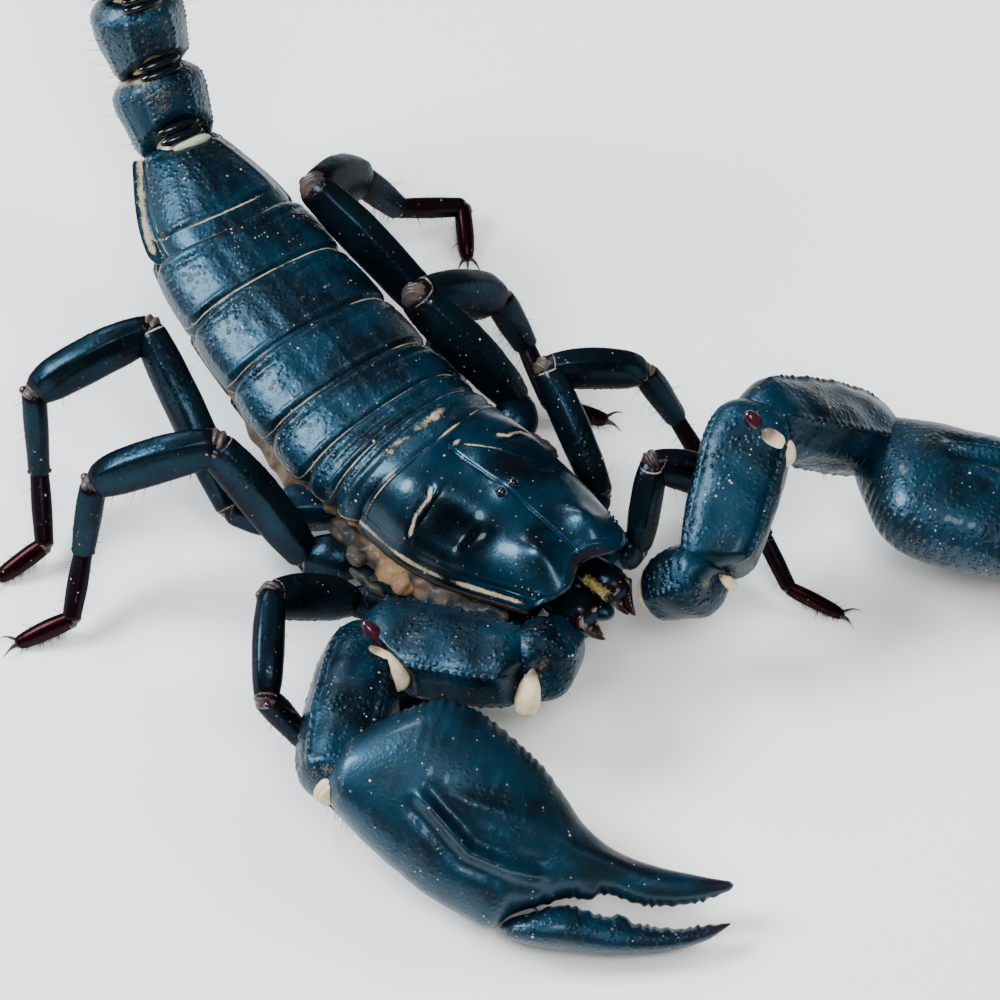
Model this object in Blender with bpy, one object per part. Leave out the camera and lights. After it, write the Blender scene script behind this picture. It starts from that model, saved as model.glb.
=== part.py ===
"""A still, life-size Asian forest scorpion. Lengths here are millimetres and angles degrees;
the meshes are made in metres, +Z up, with the head toward -Y and the animal's left toward +X."""

from math import asin, cos, degrees, radians, sin

import bmesh
import bpy
from mathutils import Matrix, Vector

MM = 0.001
GAP = 0.3  # clear space between neighbours
BODY_START = Vector((-6.43, 0.21, 11.15))  # middle of the carapace's rear edge, at margin height

# The trunk's stations, front to back: place of the midline at margin height from BODY_START,
# half width, rise of the back above the margins, depth of the underside below them.
TRUNK = (
    (2.55, -19.2, 3.2, 4.5, 1.1, 5.6),
    (2.05, -15.0, 2.0, 5.6, 2.9, 5.6),
    (1.40, -10.0, 0.8, 6.9, 4.2, 5.6),
    (0.65, -5.0, 0.1, 7.7, 4.9, 5.3),
    (0.0, 0.0, 0.0, 7.6, 4.9, 5.1),
    (-0.2, 2.4, -0.2, 7.6, 4.7, 5.0),
    (-0.4, 5.3, -0.3, 7.8, 4.7, 5.0),
    (-0.5, 10.1, -0.1, 7.8, 4.8, 5.1),
    (-0.3, 15.9, 0.4, 7.6, 4.9, 5.1),
    (0.0, 22.5, 1.1, 7.2, 4.7, 4.8),
    (0.6, 29.6, 2.2, 6.4, 4.1, 4.2),
    (2.0, 37.6, 3.4, 3.9, 2.7, 2.8),
)
CARAPACE_REAR = 4  # its station; tergite I starts there
LIP = 0.35  # half the thickness of a plate's edge
OVERLAP = 0.03  # how far each tergite's rear edge stands over the next, as a share of its size
NOTCH_DEPTH, NOTCH_SPREAD, NOTCH_STATIONS = 3.6, 0.62, 1.3  # of the bay in the carapace's front
EYE_RADIUS, EYE_SPACING, EYE_STATION = 0.45, 1.3, 2.05

# Tail: length, half width and half height of each ring, and its heading and rise.
TAIL = (
    (7.0, 3.9, 3.4, 78, 44),
    (7.6, 3.8, 3.35, 84, 68),
    (8.2, 3.6, 3.2, 90, 86),
    (9.6, 3.3, 3.0, -97, 74),
    (13.0, 2.85, 2.6, -97, 56),
)
VESICLE = (7.4, 2.6, 2.4, -97, 26)
STING_TURNS = ((2.6, -97, 2), (2.2, -97, -28), (1.6, -97, -56))
STING_RADII = (1.0, 0.75, 0.45, 0.14)

# Leg lengths by pair, front to back: femur, patella, tibia, basitarsus, tarsus.
LEG_LENGTHS = {
    1: (8.2, 7.9, 6.0, 4.7, 5.0),
    2: (11.2, 8.6, 7.0, 5.2, 4.8),
    3: (12.6, 10.5, 7.3, 5.6, 5.0),
    4: (16.0, 10.6, 7.9, 6.0, 4.8),
}
LEG_GIRTH = {1: 1.75, 2: 1.85, 3: 2.15, 4: 2.15}  # the femur's half height
HIP_REACH = {1: (4.6, -14.2), 2: (5.9, -9.0), 3: (6.4, -2.8), 4: (7.0, 4.4)}
HIP_RISE = -4.3
HIP_CLEARANCE = 2.1  # from the shield's leg socket to the trochanter
# Each leg: where the femur starts, then heading and rise of each segment. The tarsus has only
# a heading, because its rise is the one that lays its tip on the floor.
LEGS = {
    ("right", 1): ((-5.9, -14.7, -5.6), (162, -14), (-130, -4), (-100, -5), (-70, -5), -50),
    ("right", 2): ((-11.4, -4.8, -3.8), (-178, 44), (-129, -15), (-29, -66), (-89, -54), -75),
    ("right", 3): ((-11.4, 1.8, -4.7), (113, 50), (151, -17), (-161, -73), (-142, -43), 157),
    ("right", 4): ((-13.8, 8.6, -3.4), (83, 33), (166, -15), (-125, -70), (-123, -40), 169),
    ("left", 1): ((10.6, -14.4, -4.0), (32, 70), (-27, -37), (-62, -55), (-93, -38), -55),
    ("left", 2): ((10.8, -9.0, -3.0), (82, 37), (-25, -17), (-37, -66), (-84, -41), -82),
    ("left", 3): ((11.1, 2.7, -2.5), (117, 44), (0, -37), (-26, -71), (-103, -22), -42),
    ("left", 4): ((11.3, 12.8, -2.7), (109, 36), (25, -42), (4, -60), (-22, -16), -122),
}
FOOT_RADIUS, FOOT_HEIGHT = 0.55, 0.42  # of the tarsus tip, and of its middle over the floor

# Pedipalps: trochanter start, then (length, heading, rise) of trochanter, femur, patella, hand;
# and how far the hand's inner edge is rolled up.
PEDIPALPS = {
    "right": ((-1.2, -19.0, -1.9), (5.8, -153, 24), (14.0, 123, -8.6), (14.8, -137, 2),
              (32.4, -47, -10.4), 32),
    "left": ((7.7, -19.6, -2.3), (5.8, -46, 34), (14.0, 36, 22), (15.1, -13, -39),
             (32.4, -75.5, -2.5), 14),
}
# The hand from the wrist: millimetres along it, then its inner and outer edge from the axis,
# its half thickness.
PALM = (
    (-1.2, 2.6, -0.6, 1.8), (0.2, 4.0, -1.6, 2.7), (3.2, 6.6, -3.6, 3.6), (6.2, 8.5, -5.2, 4.2),
    (9.2, 8.5, -6.6, 4.4), (12.2, 7.2, -7.5, 4.2), (14.5, 6.0, -7.8, 3.8), (15.8, 5.2, -6.4, 3.4),
    (17.8, 3.5, -5.2, 2.8), (19.8, 1.7, -4.1, 2.3), (22.3, 0.5, -3.1, 1.9), (25.7, -0.1, -3.2, 1.6),
    (29.0, 0.0, -2.4, 1.1), (32.3, 0.2, -0.5, 0.35),
)
FINGER = (
    (15.2, -7.0, -8.1, 0.8), (17.2, -6.0, -8.4, 1.9), (19.6, -4.8, -8.3, 2.1), (22.6, -4.9, -8.0, 1.9),
    (25.6, -4.9, -7.3, 1.6), (28.6, -4.5, -6.3, 1.2), (31.2, -3.6, -4.8, 0.7), (32.8, -2.9, -3.2, 0.3),
)

# Sections of the limbs: place along the joints, then half width and half height. Those of the
# legs are shares of the leg's girth, those of the tail and vesicle of the ring's own size.
LEG_FEMUR = ((0.0, 0.62, 0.7), (0.55, 0.78, 0.85), (1.0, 0.55, 0.66), (1.25, 0.68, 0.95), (1.7, 0.72, 1.05),
             (2.0, 0.64, 0.88))
LEG_PATELLA = ((0.0, 0.64, 0.88), (0.35, 0.7, 1.02), (0.8, 0.66, 0.94), (1.0, 0.54, 0.66))
LEG_FOOT = ((0.0, 0.5, 0.62), (0.5, 0.47, 0.6), (1.0, 0.42, 0.5), (1.5, 0.41, 0.48), (2.0, 0.36, 0.42),
            (2.45, 0.36, 0.42))
PALP_TROCHANTER = ((0.15, 2.0, 1.9), (0.5, 3.0, 3.0), (1.0, 3.0, 3.1))
PALP_FEMUR = ((0.0, 2.9, 2.8), (0.3, 3.4, 2.6), (0.75, 3.6, 2.6), (1.0, 3.3, 2.6))
PALP_PATELLA = ((0.0, 2.8, 2.6), (0.3, 3.6, 3.0), (0.75, 3.5, 3.1), (1.0, 2.9, 2.8))
TAIL_RING = ((0.0, 0.78, 0.8), (0.2, 0.93, 0.92), (0.75, 1.0, 1.0), (1.0, 0.86, 0.88))
VESICLE_BULB = ((0.0, 0.6, 0.6), (0.3, 0.95, 0.95), (0.6, 0.98, 1.0), (0.85, 0.7, 0.75), (1.0, 0.4, 0.45))
CHELICERA = ((0.0, 1.4, 1.4), (0.6, 1.6, 1.6), (1.0, 1.4, 1.4), (1.6, 0.85, 0.9), (2.0, 0.45, 0.5))
CHELICERA_SPACING, CHELICERA_FALL = 3.7, 2.5
PECTINE = ((0.0, 1.2, 0.4), (0.5, 1.3, 0.4), (1.0, 0.7, 0.3))
PECTINE_FALL, PECTINE_SPREAD, PECTINE_SPACING = 0.9, (6.2, 3.4), 2.2
# The shield under the head part: trunk station, half width, its top from margin height.
COXA_TOP = -0.65
COXOSTERNUM = (
    (6.0, 6.4, COXA_TOP), (5.0, 6.6, COXA_TOP), (4.0, 6.6, COXA_TOP), (3.0, 6.7, COXA_TOP),
    (2.0, 6.2, COXA_TOP), (1.45, 5.6, COXA_TOP), (1.3, 5.6, -2.9), (0.85, 5.3, -3.6),
    (0.75, 2.9, -4.2), (0.3, 2.5, -5.2),
)
BELLY_START, BELLY_END = 6.1, 10.96  # trunk stations; its front end narrows to BELLY_NARROW
BELLY_NARROW = 0.84
FACETS = {"carapace": 28, "tergite": 20, "belly": 16, "shield": 18, "palm": 14, "tail": 12, "palp": 10,
          "leg": 8}

COLOURS = {
    "shell": (0.006, 0.022, 0.034),
    "membrane": (0.42, 0.36, 0.25),
    "eye": (0.004, 0.004, 0.005),
    "claw": (0.05, 0.012, 0.008),
}
SHINE = {"shell": 0.22, "membrane": 0.55, "eye": 0.08, "claw": 0.3}
LEFT = {"left": 1, "right": -1}


def direction(heading, rise):
    """Unit vector; heading is counterclockwise from +X, rise is above the floor."""
    h, r = radians(heading), radians(rise)
    return Vector((cos(r) * cos(h), cos(r) * sin(h), sin(r)))


def sideways(forward):
    """Level unit vector to the left of something that faces backward along forward."""
    return Vector((forward.y, -forward.x, 0)).normalized()


def frame(centre, forward, across, half_width, half_height):
    """Places a unit circle as a section: local X across the piece, local Y its upward side."""
    across = (across - forward * across.dot(forward)).normalized()
    upward = across.cross(forward)
    turn = Matrix((across * half_width, upward * half_height, forward)).transposed().to_4x4()
    return Matrix.Translation(centre) @ turn


def plain(x, y):
    return x, y, 0


def loop(bm, place, sides, shape=plain):
    """One closed section; shape moves each point of the unit circle before it is placed."""
    made = bmesh.ops.create_circle(bm, segments=sides, radius=1)["verts"]
    for vert in made:
        vert.co = place @ Vector(shape(vert.co.x, vert.co.y))
    return list({edge for vert in made for edge in vert.link_edges})


def skin(bm, loops, sides):
    for one, other in zip(loops, loops[1:]):
        bmesh.ops.bridge_loops(bm, edges=one + other)
    bmesh.ops.holes_fill(bm, edges=loops[0] + loops[-1], sides=sides)


def cut(bm, point, outward):
    """Removes what lies past the point, in the outward direction, and closes the cut."""
    geometry = bm.verts[:] + bm.edges[:] + bm.faces[:]
    made = bmesh.ops.bisect_plane(bm, geom=geometry, plane_co=point, plane_no=outward, clear_outer=True)
    edges = [item for item in made["geom_cut"] if isinstance(item, bmesh.types.BMEdge)]
    bmesh.ops.holes_fill(bm, edges=edges)


def material(kind):
    if kind in bpy.data.materials:
        return bpy.data.materials[kind]
    made = bpy.data.materials.new(kind)
    made.use_nodes = True
    surface = made.node_tree.nodes["Principled BSDF"]
    surface.inputs["Base Color"].default_value = (*COLOURS[kind], 1)
    surface.inputs["Roughness"].default_value = SHINE[kind]
    return made


def finish(bm, name, kind="shell"):
    """Makes the piece's object, on the body's middle. A foot is flattened where it meets the floor."""
    for vert in bm.verts:
        vert.co.z = max(vert.co.z, -BODY_START.z)
    bmesh.ops.scale(bm, verts=bm.verts, vec=(MM, MM, MM))
    bmesh.ops.triangulate(bm, faces=bm.faces)
    bmesh.ops.recalc_face_normals(bm, faces=bm.faces)
    mesh = bpy.data.meshes.new(name)
    bm.to_mesh(mesh)
    bm.free()
    mesh.materials.append(material(kind))
    mesh.shade_smooth()
    mesh.set_sharp_from_angle(angle=radians(35))
    made = bpy.data.objects.new(name, mesh)
    made.parent = bpy.data.objects["body_middle"]
    bpy.context.scene.collection.objects.link(made)


def blend(rows, where):
    """The row of a table at a fractional index."""
    low = min(int(where), len(rows) - 2)
    part = where - low
    return [a + (b - a) * part for a, b in zip(rows[low], rows[low + 1])]


def trunk(where):
    """Midpoint, backward direction, half width, back's rise and underside's depth at a station."""
    x, y, z, half_width, rise, depth = blend(TRUNK, where)
    before, after = blend(TRUNK, max(where - 0.6, 0)), blend(TRUNK, min(where + 0.6, len(TRUNK) - 1))
    backward = (Vector(after[:3]) - Vector(before[:3])).normalized()
    return Vector((x, y, z)), backward, half_width, rise, depth


def boxy(value, power):
    return abs(value) ** power * (1 if value > 0 else -1)


def plate_shape(rise, width, notch=0.0):
    """A low arch with a thin lip; the notch draws the middle of the section backward."""

    def shape(x, y):
        side = boxy(x, 0.8)
        height = LIP + rise * boxy(y, 1.15) if y > 0 else LIP * max(-1, 3 * y)
        return side * width, height, notch * max(0, 1 - abs(side) / NOTCH_SPREAD)

    return shape


def carapace():
    bm = bmesh.new()
    loops = []
    sides = FACETS["carapace"]
    steps = 9
    for step in range(steps):
        where = CARAPACE_REAR * (1 - step / (steps - 1))
        centre, backward, width, rise, _ = trunk(where)
        notch = NOTCH_DEPTH * max(0, 1 - where / NOTCH_STATIONS)
        loops.append(loop(bm, frame(centre, backward, sideways(backward), 1, 1), sides,
                          plate_shape(rise, width, notch)))
    skin(bm, loops, sides)
    rear, backward, *_ = trunk(CARAPACE_REAR)
    cut(bm, rear - backward * GAP / 2, backward)
    finish(bm, "carapace")


def tergite(number):
    bm = bmesh.new()
    first = CARAPACE_REAR + number - 1
    sides = FACETS["tergite"]
    loops = []
    for share in (-0.1, 0.25, 0.7, 1.1):
        centre, backward, width, rise, _ = trunk(min(first + share, len(TRUNK) - 1))
        if first + share > len(TRUNK) - 1:
            centre = centre + backward * 0.8
        size = 1 - OVERLAP + 2 * OVERLAP * share
        place = frame(centre, backward, sideways(backward), 1, 1)
        loops.append(loop(bm, place, sides, plate_shape(rise * size, width * size)))
    skin(bm, loops, sides)
    for station, outward in ((first, -1), (first + 1, 1)):
        centre, backward, *_ = trunk(station)
        if station == len(TRUNK) - 1:
            backward = (backward + direction(*TAIL[0][3:])).normalized()
        cut(bm, centre - backward * outward * GAP / 2, backward * outward)
    finish(bm, f"tergite_{number}")


def underside_shape(width, top, depth):
    """Flat on top, where the plates lie, and rounded below, with bulging flanks."""

    def shape(x, y):
        bulge = 0.9 + 0.13 * min(1, max(0, -3 * y))
        return boxy(x, 0.75) * width * bulge, (top if y > -0.05 else top + (depth + top) * boxy(y, 0.8)), 0

    return shape


def belly():
    bm = bmesh.new()
    sides = FACETS["belly"]
    loops = []
    top = -LIP - GAP
    steps = 8
    for step in range(steps):
        where = BELLY_START + (BELLY_END - BELLY_START) * step / (steps - 1)
        centre, backward, width, _, depth = trunk(where)
        place = frame(centre, backward, sideways(backward), 1, 1)
        taper = min(1, BELLY_NARROW + 0.1 * step)
        loops.append(loop(bm, place, sides, underside_shape(width * taper, top, depth)))
    skin(bm, loops, sides)
    finish(bm, "belly", "membrane")


def coxosternum():
    """The floor of the head part, with the bases of the legs and pedipalps as one shield."""
    bm = bmesh.new()
    sides = FACETS["shield"]
    loops = []
    for where, half_width, top in COXOSTERNUM:
        centre, backward, _, _, depth = trunk(where)
        place = frame(centre, backward, sideways(backward), 1, 1)
        level_depth = depth + centre.z - 0.4
        loops.append(loop(bm, place, sides, underside_shape(half_width, top, level_depth)))
    skin(bm, loops, sides)
    finish(bm, "coxosternum")


def limb(bm, points, sections, across, sides=FACETS["leg"], round_ends=(True, True)):
    """A tube along straight stretches. sections: (place along the points, half width, half height)."""
    loops = []

    def at(where):
        low = max(0, min(int(where), len(points) - 2))
        return points[low].lerp(points[low + 1], where - low)

    def heading_at(where):
        low = max(0, min(int(where), len(points) - 2))
        ahead = (points[low + 1] - points[low]).normalized()
        if where == low and low > 0:
            ahead = (ahead + (points[low] - points[low - 1]).normalized()).normalized()
        return ahead

    def add(centre, forward, half_width, half_height):
        loops.append(loop(bm, frame(centre, forward, across, half_width, half_height), sides))

    first, last = sections[0], sections[-1]
    if round_ends[0]:
        forward = heading_at(first[0])
        for back, size in ((0.9, 0.45), (0.5, 0.85)):
            add(at(first[0]) - forward * back * first[2], forward, first[1] * size, first[2] * size)
    for where, half_width, half_height in sections:
        forward = heading_at(where)
        across = (across - forward * across.dot(forward)).normalized()
        add(at(where), forward, half_width, half_height)
    if round_ends[1]:
        forward = heading_at(last[0] - 1e-6)
        for ahead, size in ((0.5, 0.85), (0.9, 0.45)):
            add(at(last[0]) + forward * ahead * last[2], forward, last[1] * size, last[2] * size)
    skin(bm, loops, sides)


def scaled(sections, width, height):
    return [(where, a * width, b * height) for where, a, b in sections]


def part_at(bm, joint, one, other, keep_first):
    """Cuts the piece at a joint's mitre; keep_first keeps the stretch before it."""
    normal = (one + other).normalized()
    outward = normal if keep_first else -normal
    cut(bm, joint - outward * GAP / 2, outward)


def chain(start, steps):
    """Joints and directions of a chain of (length, heading, rise)."""
    points, ways = [Vector(start)], []
    for length, heading, rise in steps:
        ways.append(direction(heading, rise))
        points.append(points[-1] + ways[-1] * length)
    return points, ways


def leg(side, pair):
    start, *pose, tarsus_heading = LEGS[side, pair]
    lengths = LEG_LENGTHS[pair]
    points, ways = chain(start, [(length, *turn) for length, turn in zip(lengths, pose)])
    fall = points[-1].z + BODY_START.z - FOOT_HEIGHT
    ways.append(direction(tarsus_heading, -degrees(asin(fall / lengths[-1]))))
    points.append(points[-1] + ways[-1] * lengths[-1])

    reach, along = HIP_REACH[pair]
    axis = (Vector(TRUNK[CARAPACE_REAR][:3]) - Vector(TRUNK[0][:3])).normalized()
    hip = axis * along + sideways(axis) * reach * LEFT[side]
    hip.z = HIP_RISE
    into = (points[0] - hip).normalized()
    hip += into * HIP_CLEARANCE
    girth = LEG_GIRTH[pair]

    bm = bmesh.new()
    limb(bm, [hip, points[0], points[1]], scaled(LEG_FEMUR, girth, girth), sideways(ways[0]))
    part_at(bm, points[1], ways[0], ways[1], True)
    finish(bm, f"leg_{side}_{pair}_femur")

    bm = bmesh.new()
    limb(bm, points[1:3], scaled(LEG_PATELLA, girth, girth), sideways(ways[1]))
    part_at(bm, points[1], ways[0], ways[1], False)
    part_at(bm, points[2], ways[1], ways[2], True)
    finish(bm, f"leg_{side}_{pair}_patella")

    bm = bmesh.new()
    tip = (3.0, FOOT_RADIUS * 0.8, FOOT_RADIUS)
    limb(bm, points[2:], [*scaled(LEG_FOOT, girth, girth), tip], sideways(ways[2]))
    part_at(bm, points[2], ways[1], ways[2], False)
    finish(bm, f"leg_{side}_{pair}_foot")


def pedipalp(side):
    start, *steps, roll = PEDIPALPS[side]
    points, ways = chain(start, steps)

    sides = FACETS["palp"]

    bm = bmesh.new()
    limb(bm, points[0:2], PALP_TROCHANTER, sideways(ways[0]), sides, (False, True))
    part_at(bm, points[1], ways[0], ways[1], True)
    finish(bm, f"pedipalp_{side}_trochanter")

    bm = bmesh.new()
    limb(bm, points[1:3], PALP_FEMUR, sideways(ways[1]), sides)
    part_at(bm, points[1], ways[0], ways[1], False)
    part_at(bm, points[2], ways[1], ways[2], True)
    finish(bm, f"pedipalp_{side}_femur")

    bm = bmesh.new()
    limb(bm, points[2:4], PALP_PATELLA, sideways(ways[2]), sides)
    part_at(bm, points[2], ways[1], ways[2], False)
    part_at(bm, points[3], ways[2], ways[3], True)
    finish(bm, f"pedipalp_{side}_patella")
    hand(side, points[3], ways[2], ways[3], roll)


def hand(side, wrist, before, ahead, roll):
    """Palm with the fixed finger along its inner edge, and the movable finger beside it."""
    inner = Vector((-ahead.y, ahead.x, 0)).normalized() * -LEFT[side]
    across = Matrix.Rotation(radians(roll) * -LEFT[side], 3, ahead) @ inner
    for name, rows, sides in (("hand", PALM, FACETS["palm"]), ("finger", FINGER, FACETS["palp"])):
        bm = bmesh.new()
        loops = []
        for along, inner_edge, outer_edge, half_height in rows:
            centre = wrist + ahead * along + across * (inner_edge + outer_edge) / 2
            half_width = (inner_edge - outer_edge) / 2
            loops.append(loop(bm, frame(centre, ahead, across, half_width, half_height), sides))
        skin(bm, loops, sides)
        if name == "hand":
            part_at(bm, wrist, before, ahead, False)
        finish(bm, f"pedipalp_{side}_{name}")


def eyes():
    for side, sign in LEFT.items():
        centre, backward, _, rise, _ = trunk(EYE_STATION)
        up = sideways(backward).cross(backward)
        place = centre + up * (LIP + rise + EYE_RADIUS + 0.1) + sideways(backward) * sign * EYE_SPACING / 2
        bm = bmesh.new()
        bmesh.ops.create_icosphere(bm, subdivisions=2, radius=EYE_RADIUS, matrix=Matrix.Translation(place))
        finish(bm, f"median_eye_{side}", "eye")


def chelicerae():
    for side, sign in LEFT.items():
        centre, backward, *_ = trunk(0.6)
        start = centre + sideways(backward) * sign * CHELICERA_SPACING / 2 + Vector((0, 0, -CHELICERA_FALL))
        points = [start, start - backward * 3.7, start - backward * 5.2 + Vector((0, 0, -1.6))]
        bm = bmesh.new()
        limb(bm, points, CHELICERA, sideways(backward))
        finish(bm, f"chelicera_{side}")


def pectines():
    for side, sign in LEFT.items():
        centre, backward, _, _, depth = trunk(CARAPACE_REAR + 1.8)
        outward = sideways(backward) * sign
        root = centre + Vector((0, 0, -depth - PECTINE_FALL)) + outward * PECTINE_SPACING / 2
        tip = root + outward * PECTINE_SPREAD[0] + backward * PECTINE_SPREAD[1]
        bm = bmesh.new()
        limb(bm, [root, tip], PECTINE, backward)
        finish(bm, f"pectine_{side}", "membrane")


def tail():
    start = Vector(TRUNK[-1][:3])
    steps = [(row[0], row[3], row[4]) for row in (*TAIL, VESICLE)]
    points, ways = chain(start, steps)
    trunk_way = trunk(len(TRUNK) - 1)[1]
    before = [trunk_way, *ways]
    across = sideways(trunk_way)
    sides = FACETS["tail"]
    for number, (_, half_width, half_height, *_) in enumerate(TAIL):
        bm = bmesh.new()
        limb(bm, points[number:number + 2], scaled(TAIL_RING, half_width, half_height), across, sides)
        part_at(bm, points[number], before[number], ways[number], False)
        part_at(bm, points[number + 1], ways[number], ways[number + 1], True)
        finish(bm, f"tail_{number + 1}")

    sting_points, sting_ways = chain(points[-1], STING_TURNS)
    bm = bmesh.new()
    _, half_width, half_height, *_ = VESICLE
    limb(bm, points[-2:], scaled(VESICLE_BULB, half_width, half_height), across, sides)
    part_at(bm, points[-2], ways[-2], ways[-1], False)
    part_at(bm, points[-1], ways[-1], sting_ways[0], True)
    finish(bm, "vesicle")

    bm = bmesh.new()
    sections = [(place, radius, radius) for place, radius in enumerate(STING_RADII)]
    limb(bm, sting_points, sections, across, FACETS["leg"], (True, False))
    part_at(bm, points[-1], ways[-1], sting_ways[0], False)
    finish(bm, "sting", "claw")


for old in list(bpy.data.objects):
    bpy.data.objects.remove(old)
body_middle = bpy.data.objects.new("body_middle", None)
body_middle.location = BODY_START * MM
bpy.context.scene.collection.objects.link(body_middle)
carapace()
for number in range(1, 8):
    tergite(number)
belly()
coxosternum()
eyes()
chelicerae()
pectines()
tail()
for leg_side, leg_pair in LEGS:
    leg(leg_side, leg_pair)
for palp_side in PEDIPALPS:
    pedipalp(palp_side)
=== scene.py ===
import random
from math import asin, atan2, cos, degrees, exp, pi, radians, sin, sqrt

import bmesh
import bpy
from mathutils import Matrix, Vector, noise


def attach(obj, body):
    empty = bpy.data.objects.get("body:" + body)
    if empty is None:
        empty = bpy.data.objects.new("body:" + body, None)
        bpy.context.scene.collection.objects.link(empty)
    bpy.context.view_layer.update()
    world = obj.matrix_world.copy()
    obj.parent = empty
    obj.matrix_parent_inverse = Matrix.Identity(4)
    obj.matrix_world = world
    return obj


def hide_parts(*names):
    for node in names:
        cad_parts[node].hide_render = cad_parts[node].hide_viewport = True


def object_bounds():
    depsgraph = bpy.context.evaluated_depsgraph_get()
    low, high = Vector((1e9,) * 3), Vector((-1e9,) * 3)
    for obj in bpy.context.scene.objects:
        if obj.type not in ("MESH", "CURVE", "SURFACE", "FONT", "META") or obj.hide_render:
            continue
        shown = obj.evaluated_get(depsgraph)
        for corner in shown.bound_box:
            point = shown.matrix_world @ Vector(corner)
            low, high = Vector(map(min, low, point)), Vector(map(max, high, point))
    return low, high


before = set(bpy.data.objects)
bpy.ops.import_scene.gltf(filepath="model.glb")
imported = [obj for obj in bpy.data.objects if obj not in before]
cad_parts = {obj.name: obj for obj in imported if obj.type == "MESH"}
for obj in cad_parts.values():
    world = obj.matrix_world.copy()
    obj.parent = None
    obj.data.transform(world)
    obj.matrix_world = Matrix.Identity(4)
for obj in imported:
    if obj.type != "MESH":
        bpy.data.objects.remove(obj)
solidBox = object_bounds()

# Lengths are millimetres and angles degrees until a piece is finished. The head points toward -Y.
mm = 0.001
bodyStart = Vector((-6.43, 0.21, 11.15))  # middle of the head shield's rear edge
leftSign = {"left": 1, "right": -1}

# The trunk's stations, front to back: midline place, half width, back's rise, underside's depth.
trunkRows = (
    (2.55, -19.2, 3.2, 4.5, 1.1, 5.6), (2.05, -15.0, 2.0, 5.6, 2.9, 5.6), (1.40, -10.0, 0.8, 6.9, 4.2, 5.6),
    (0.65, -5.0, 0.1, 7.7, 4.9, 5.3), (0.0, 0.0, 0.0, 7.6, 4.9, 5.1), (-0.2, 2.4, -0.2, 7.6, 4.7, 5.0),
    (-0.4, 5.3, -0.3, 7.8, 4.7, 5.0), (-0.5, 10.1, -0.1, 7.8, 4.8, 5.1), (-0.3, 15.9, 0.4, 7.6, 4.9, 5.1),
    (0.0, 22.5, 1.1, 7.2, 4.7, 4.8), (0.6, 29.6, 2.2, 6.4, 4.1, 4.2), (2.0, 37.6, 3.4, 3.9, 2.7, 2.8),
)
carapaceRear = 4  # the station there
lip = 0.35  # how far the shield and the back plates stand above the trunk's surface

tailRows = (  # length, half width, half height, heading, rise
    (7.0, 3.9, 3.4, 78, 44), (7.6, 3.8, 3.35, 84, 68), (8.2, 3.6, 3.2, 90, 86), (9.6, 3.3, 3.0, -97, 74),
    (13.0, 2.85, 2.6, -97, 56),
)
vesicleRow = (7.4, 2.6, 2.4, -97, 26)
stingTurns = ((2.6, -97, 2), (2.2, -97, -28), (1.6, -97, -56))

legLengths = {1: (8.2, 7.9, 6.0, 4.7, 5.0), 2: (11.2, 8.6, 7.0, 5.2, 4.8), 3: (12.6, 10.5, 7.3, 5.6, 5.0),
              4: (16.0, 10.6, 7.9, 6.0, 4.8)}
legGirth = {1: 1.75, 2: 1.85, 3: 2.15, 4: 2.15}
hipReach = {1: (4.6, -14.2), 2: (5.9, -9.0), 3: (6.4, -2.8), 4: (7.0, 4.4)}  # sideways, along the trunk
hipRise, hipClearance = -4.3, 2.1
legPoses = {  # femur start, (heading, rise) of femur, patella, tibia, basitarsus, then tarsus heading
    ("right", 1): ((-5.9, -14.7, -5.6), (162, -14), (-130, -4), (-100, -5), (-70, -5), -50),
    ("right", 2): ((-11.4, -4.8, -3.8), (-178, 44), (-129, -15), (-29, -66), (-89, -54), -75),
    ("right", 3): ((-11.4, 1.8, -4.7), (113, 50), (151, -17), (-161, -73), (-142, -43), 157),
    ("right", 4): ((-13.8, 8.6, -3.4), (83, 33), (166, -15), (-125, -70), (-123, -40), 169),
    ("left", 1): ((10.6, -14.4, -4.0), (32, 70), (-27, -37), (-62, -55), (-93, -38), -55),
    ("left", 2): ((10.8, -9.0, -3.0), (82, 37), (-25, -17), (-37, -66), (-84, -41), -82),
    ("left", 3): ((11.1, 2.7, -2.5), (117, 44), (0, -37), (-26, -71), (-103, -22), -42),
    ("left", 4): ((11.3, 12.8, -2.7), (109, 36), (25, -42), (4, -60), (-22, -16), -122),
}
footHeight = 0.42  # of each foot's end above the floor

palpPoses = {  # trochanter start, (length, heading, rise) of trochanter, femur, patella, hand, hand's roll
    "right": ((-1.2, -19.0, -1.9), (5.8, -153, 24), (14.0, 123, -8.6), (14.8, -137, 2),
              (32.4, -47, -10.4), 32),
    "left": ((7.7, -19.6, -2.3), (5.8, -46, 34), (14.0, 36, 22), (15.1, -13, -39),
             (32.4, -75.5, -2.5), 14),
}
palmRows = (  # from the wrist: along, inner edge, outer edge, half thickness
    (-1.2, 2.6, -0.6, 1.8), (0.2, 4.0, -1.6, 2.7), (3.2, 6.6, -3.6, 3.6), (6.2, 8.5, -5.2, 4.2),
    (9.2, 8.5, -6.6, 4.4), (12.2, 7.2, -7.5, 4.2), (14.5, 6.0, -7.8, 3.8), (15.8, 5.2, -6.4, 3.4),
    (17.8, 3.5, -5.2, 2.8), (19.8, 1.7, -4.1, 2.3), (22.3, 0.5, -3.1, 1.9), (25.7, -0.1, -3.2, 1.6),
    (29.0, 0.0, -2.4, 1.1), (32.3, 0.2, -0.5, 0.35),
)
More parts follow.
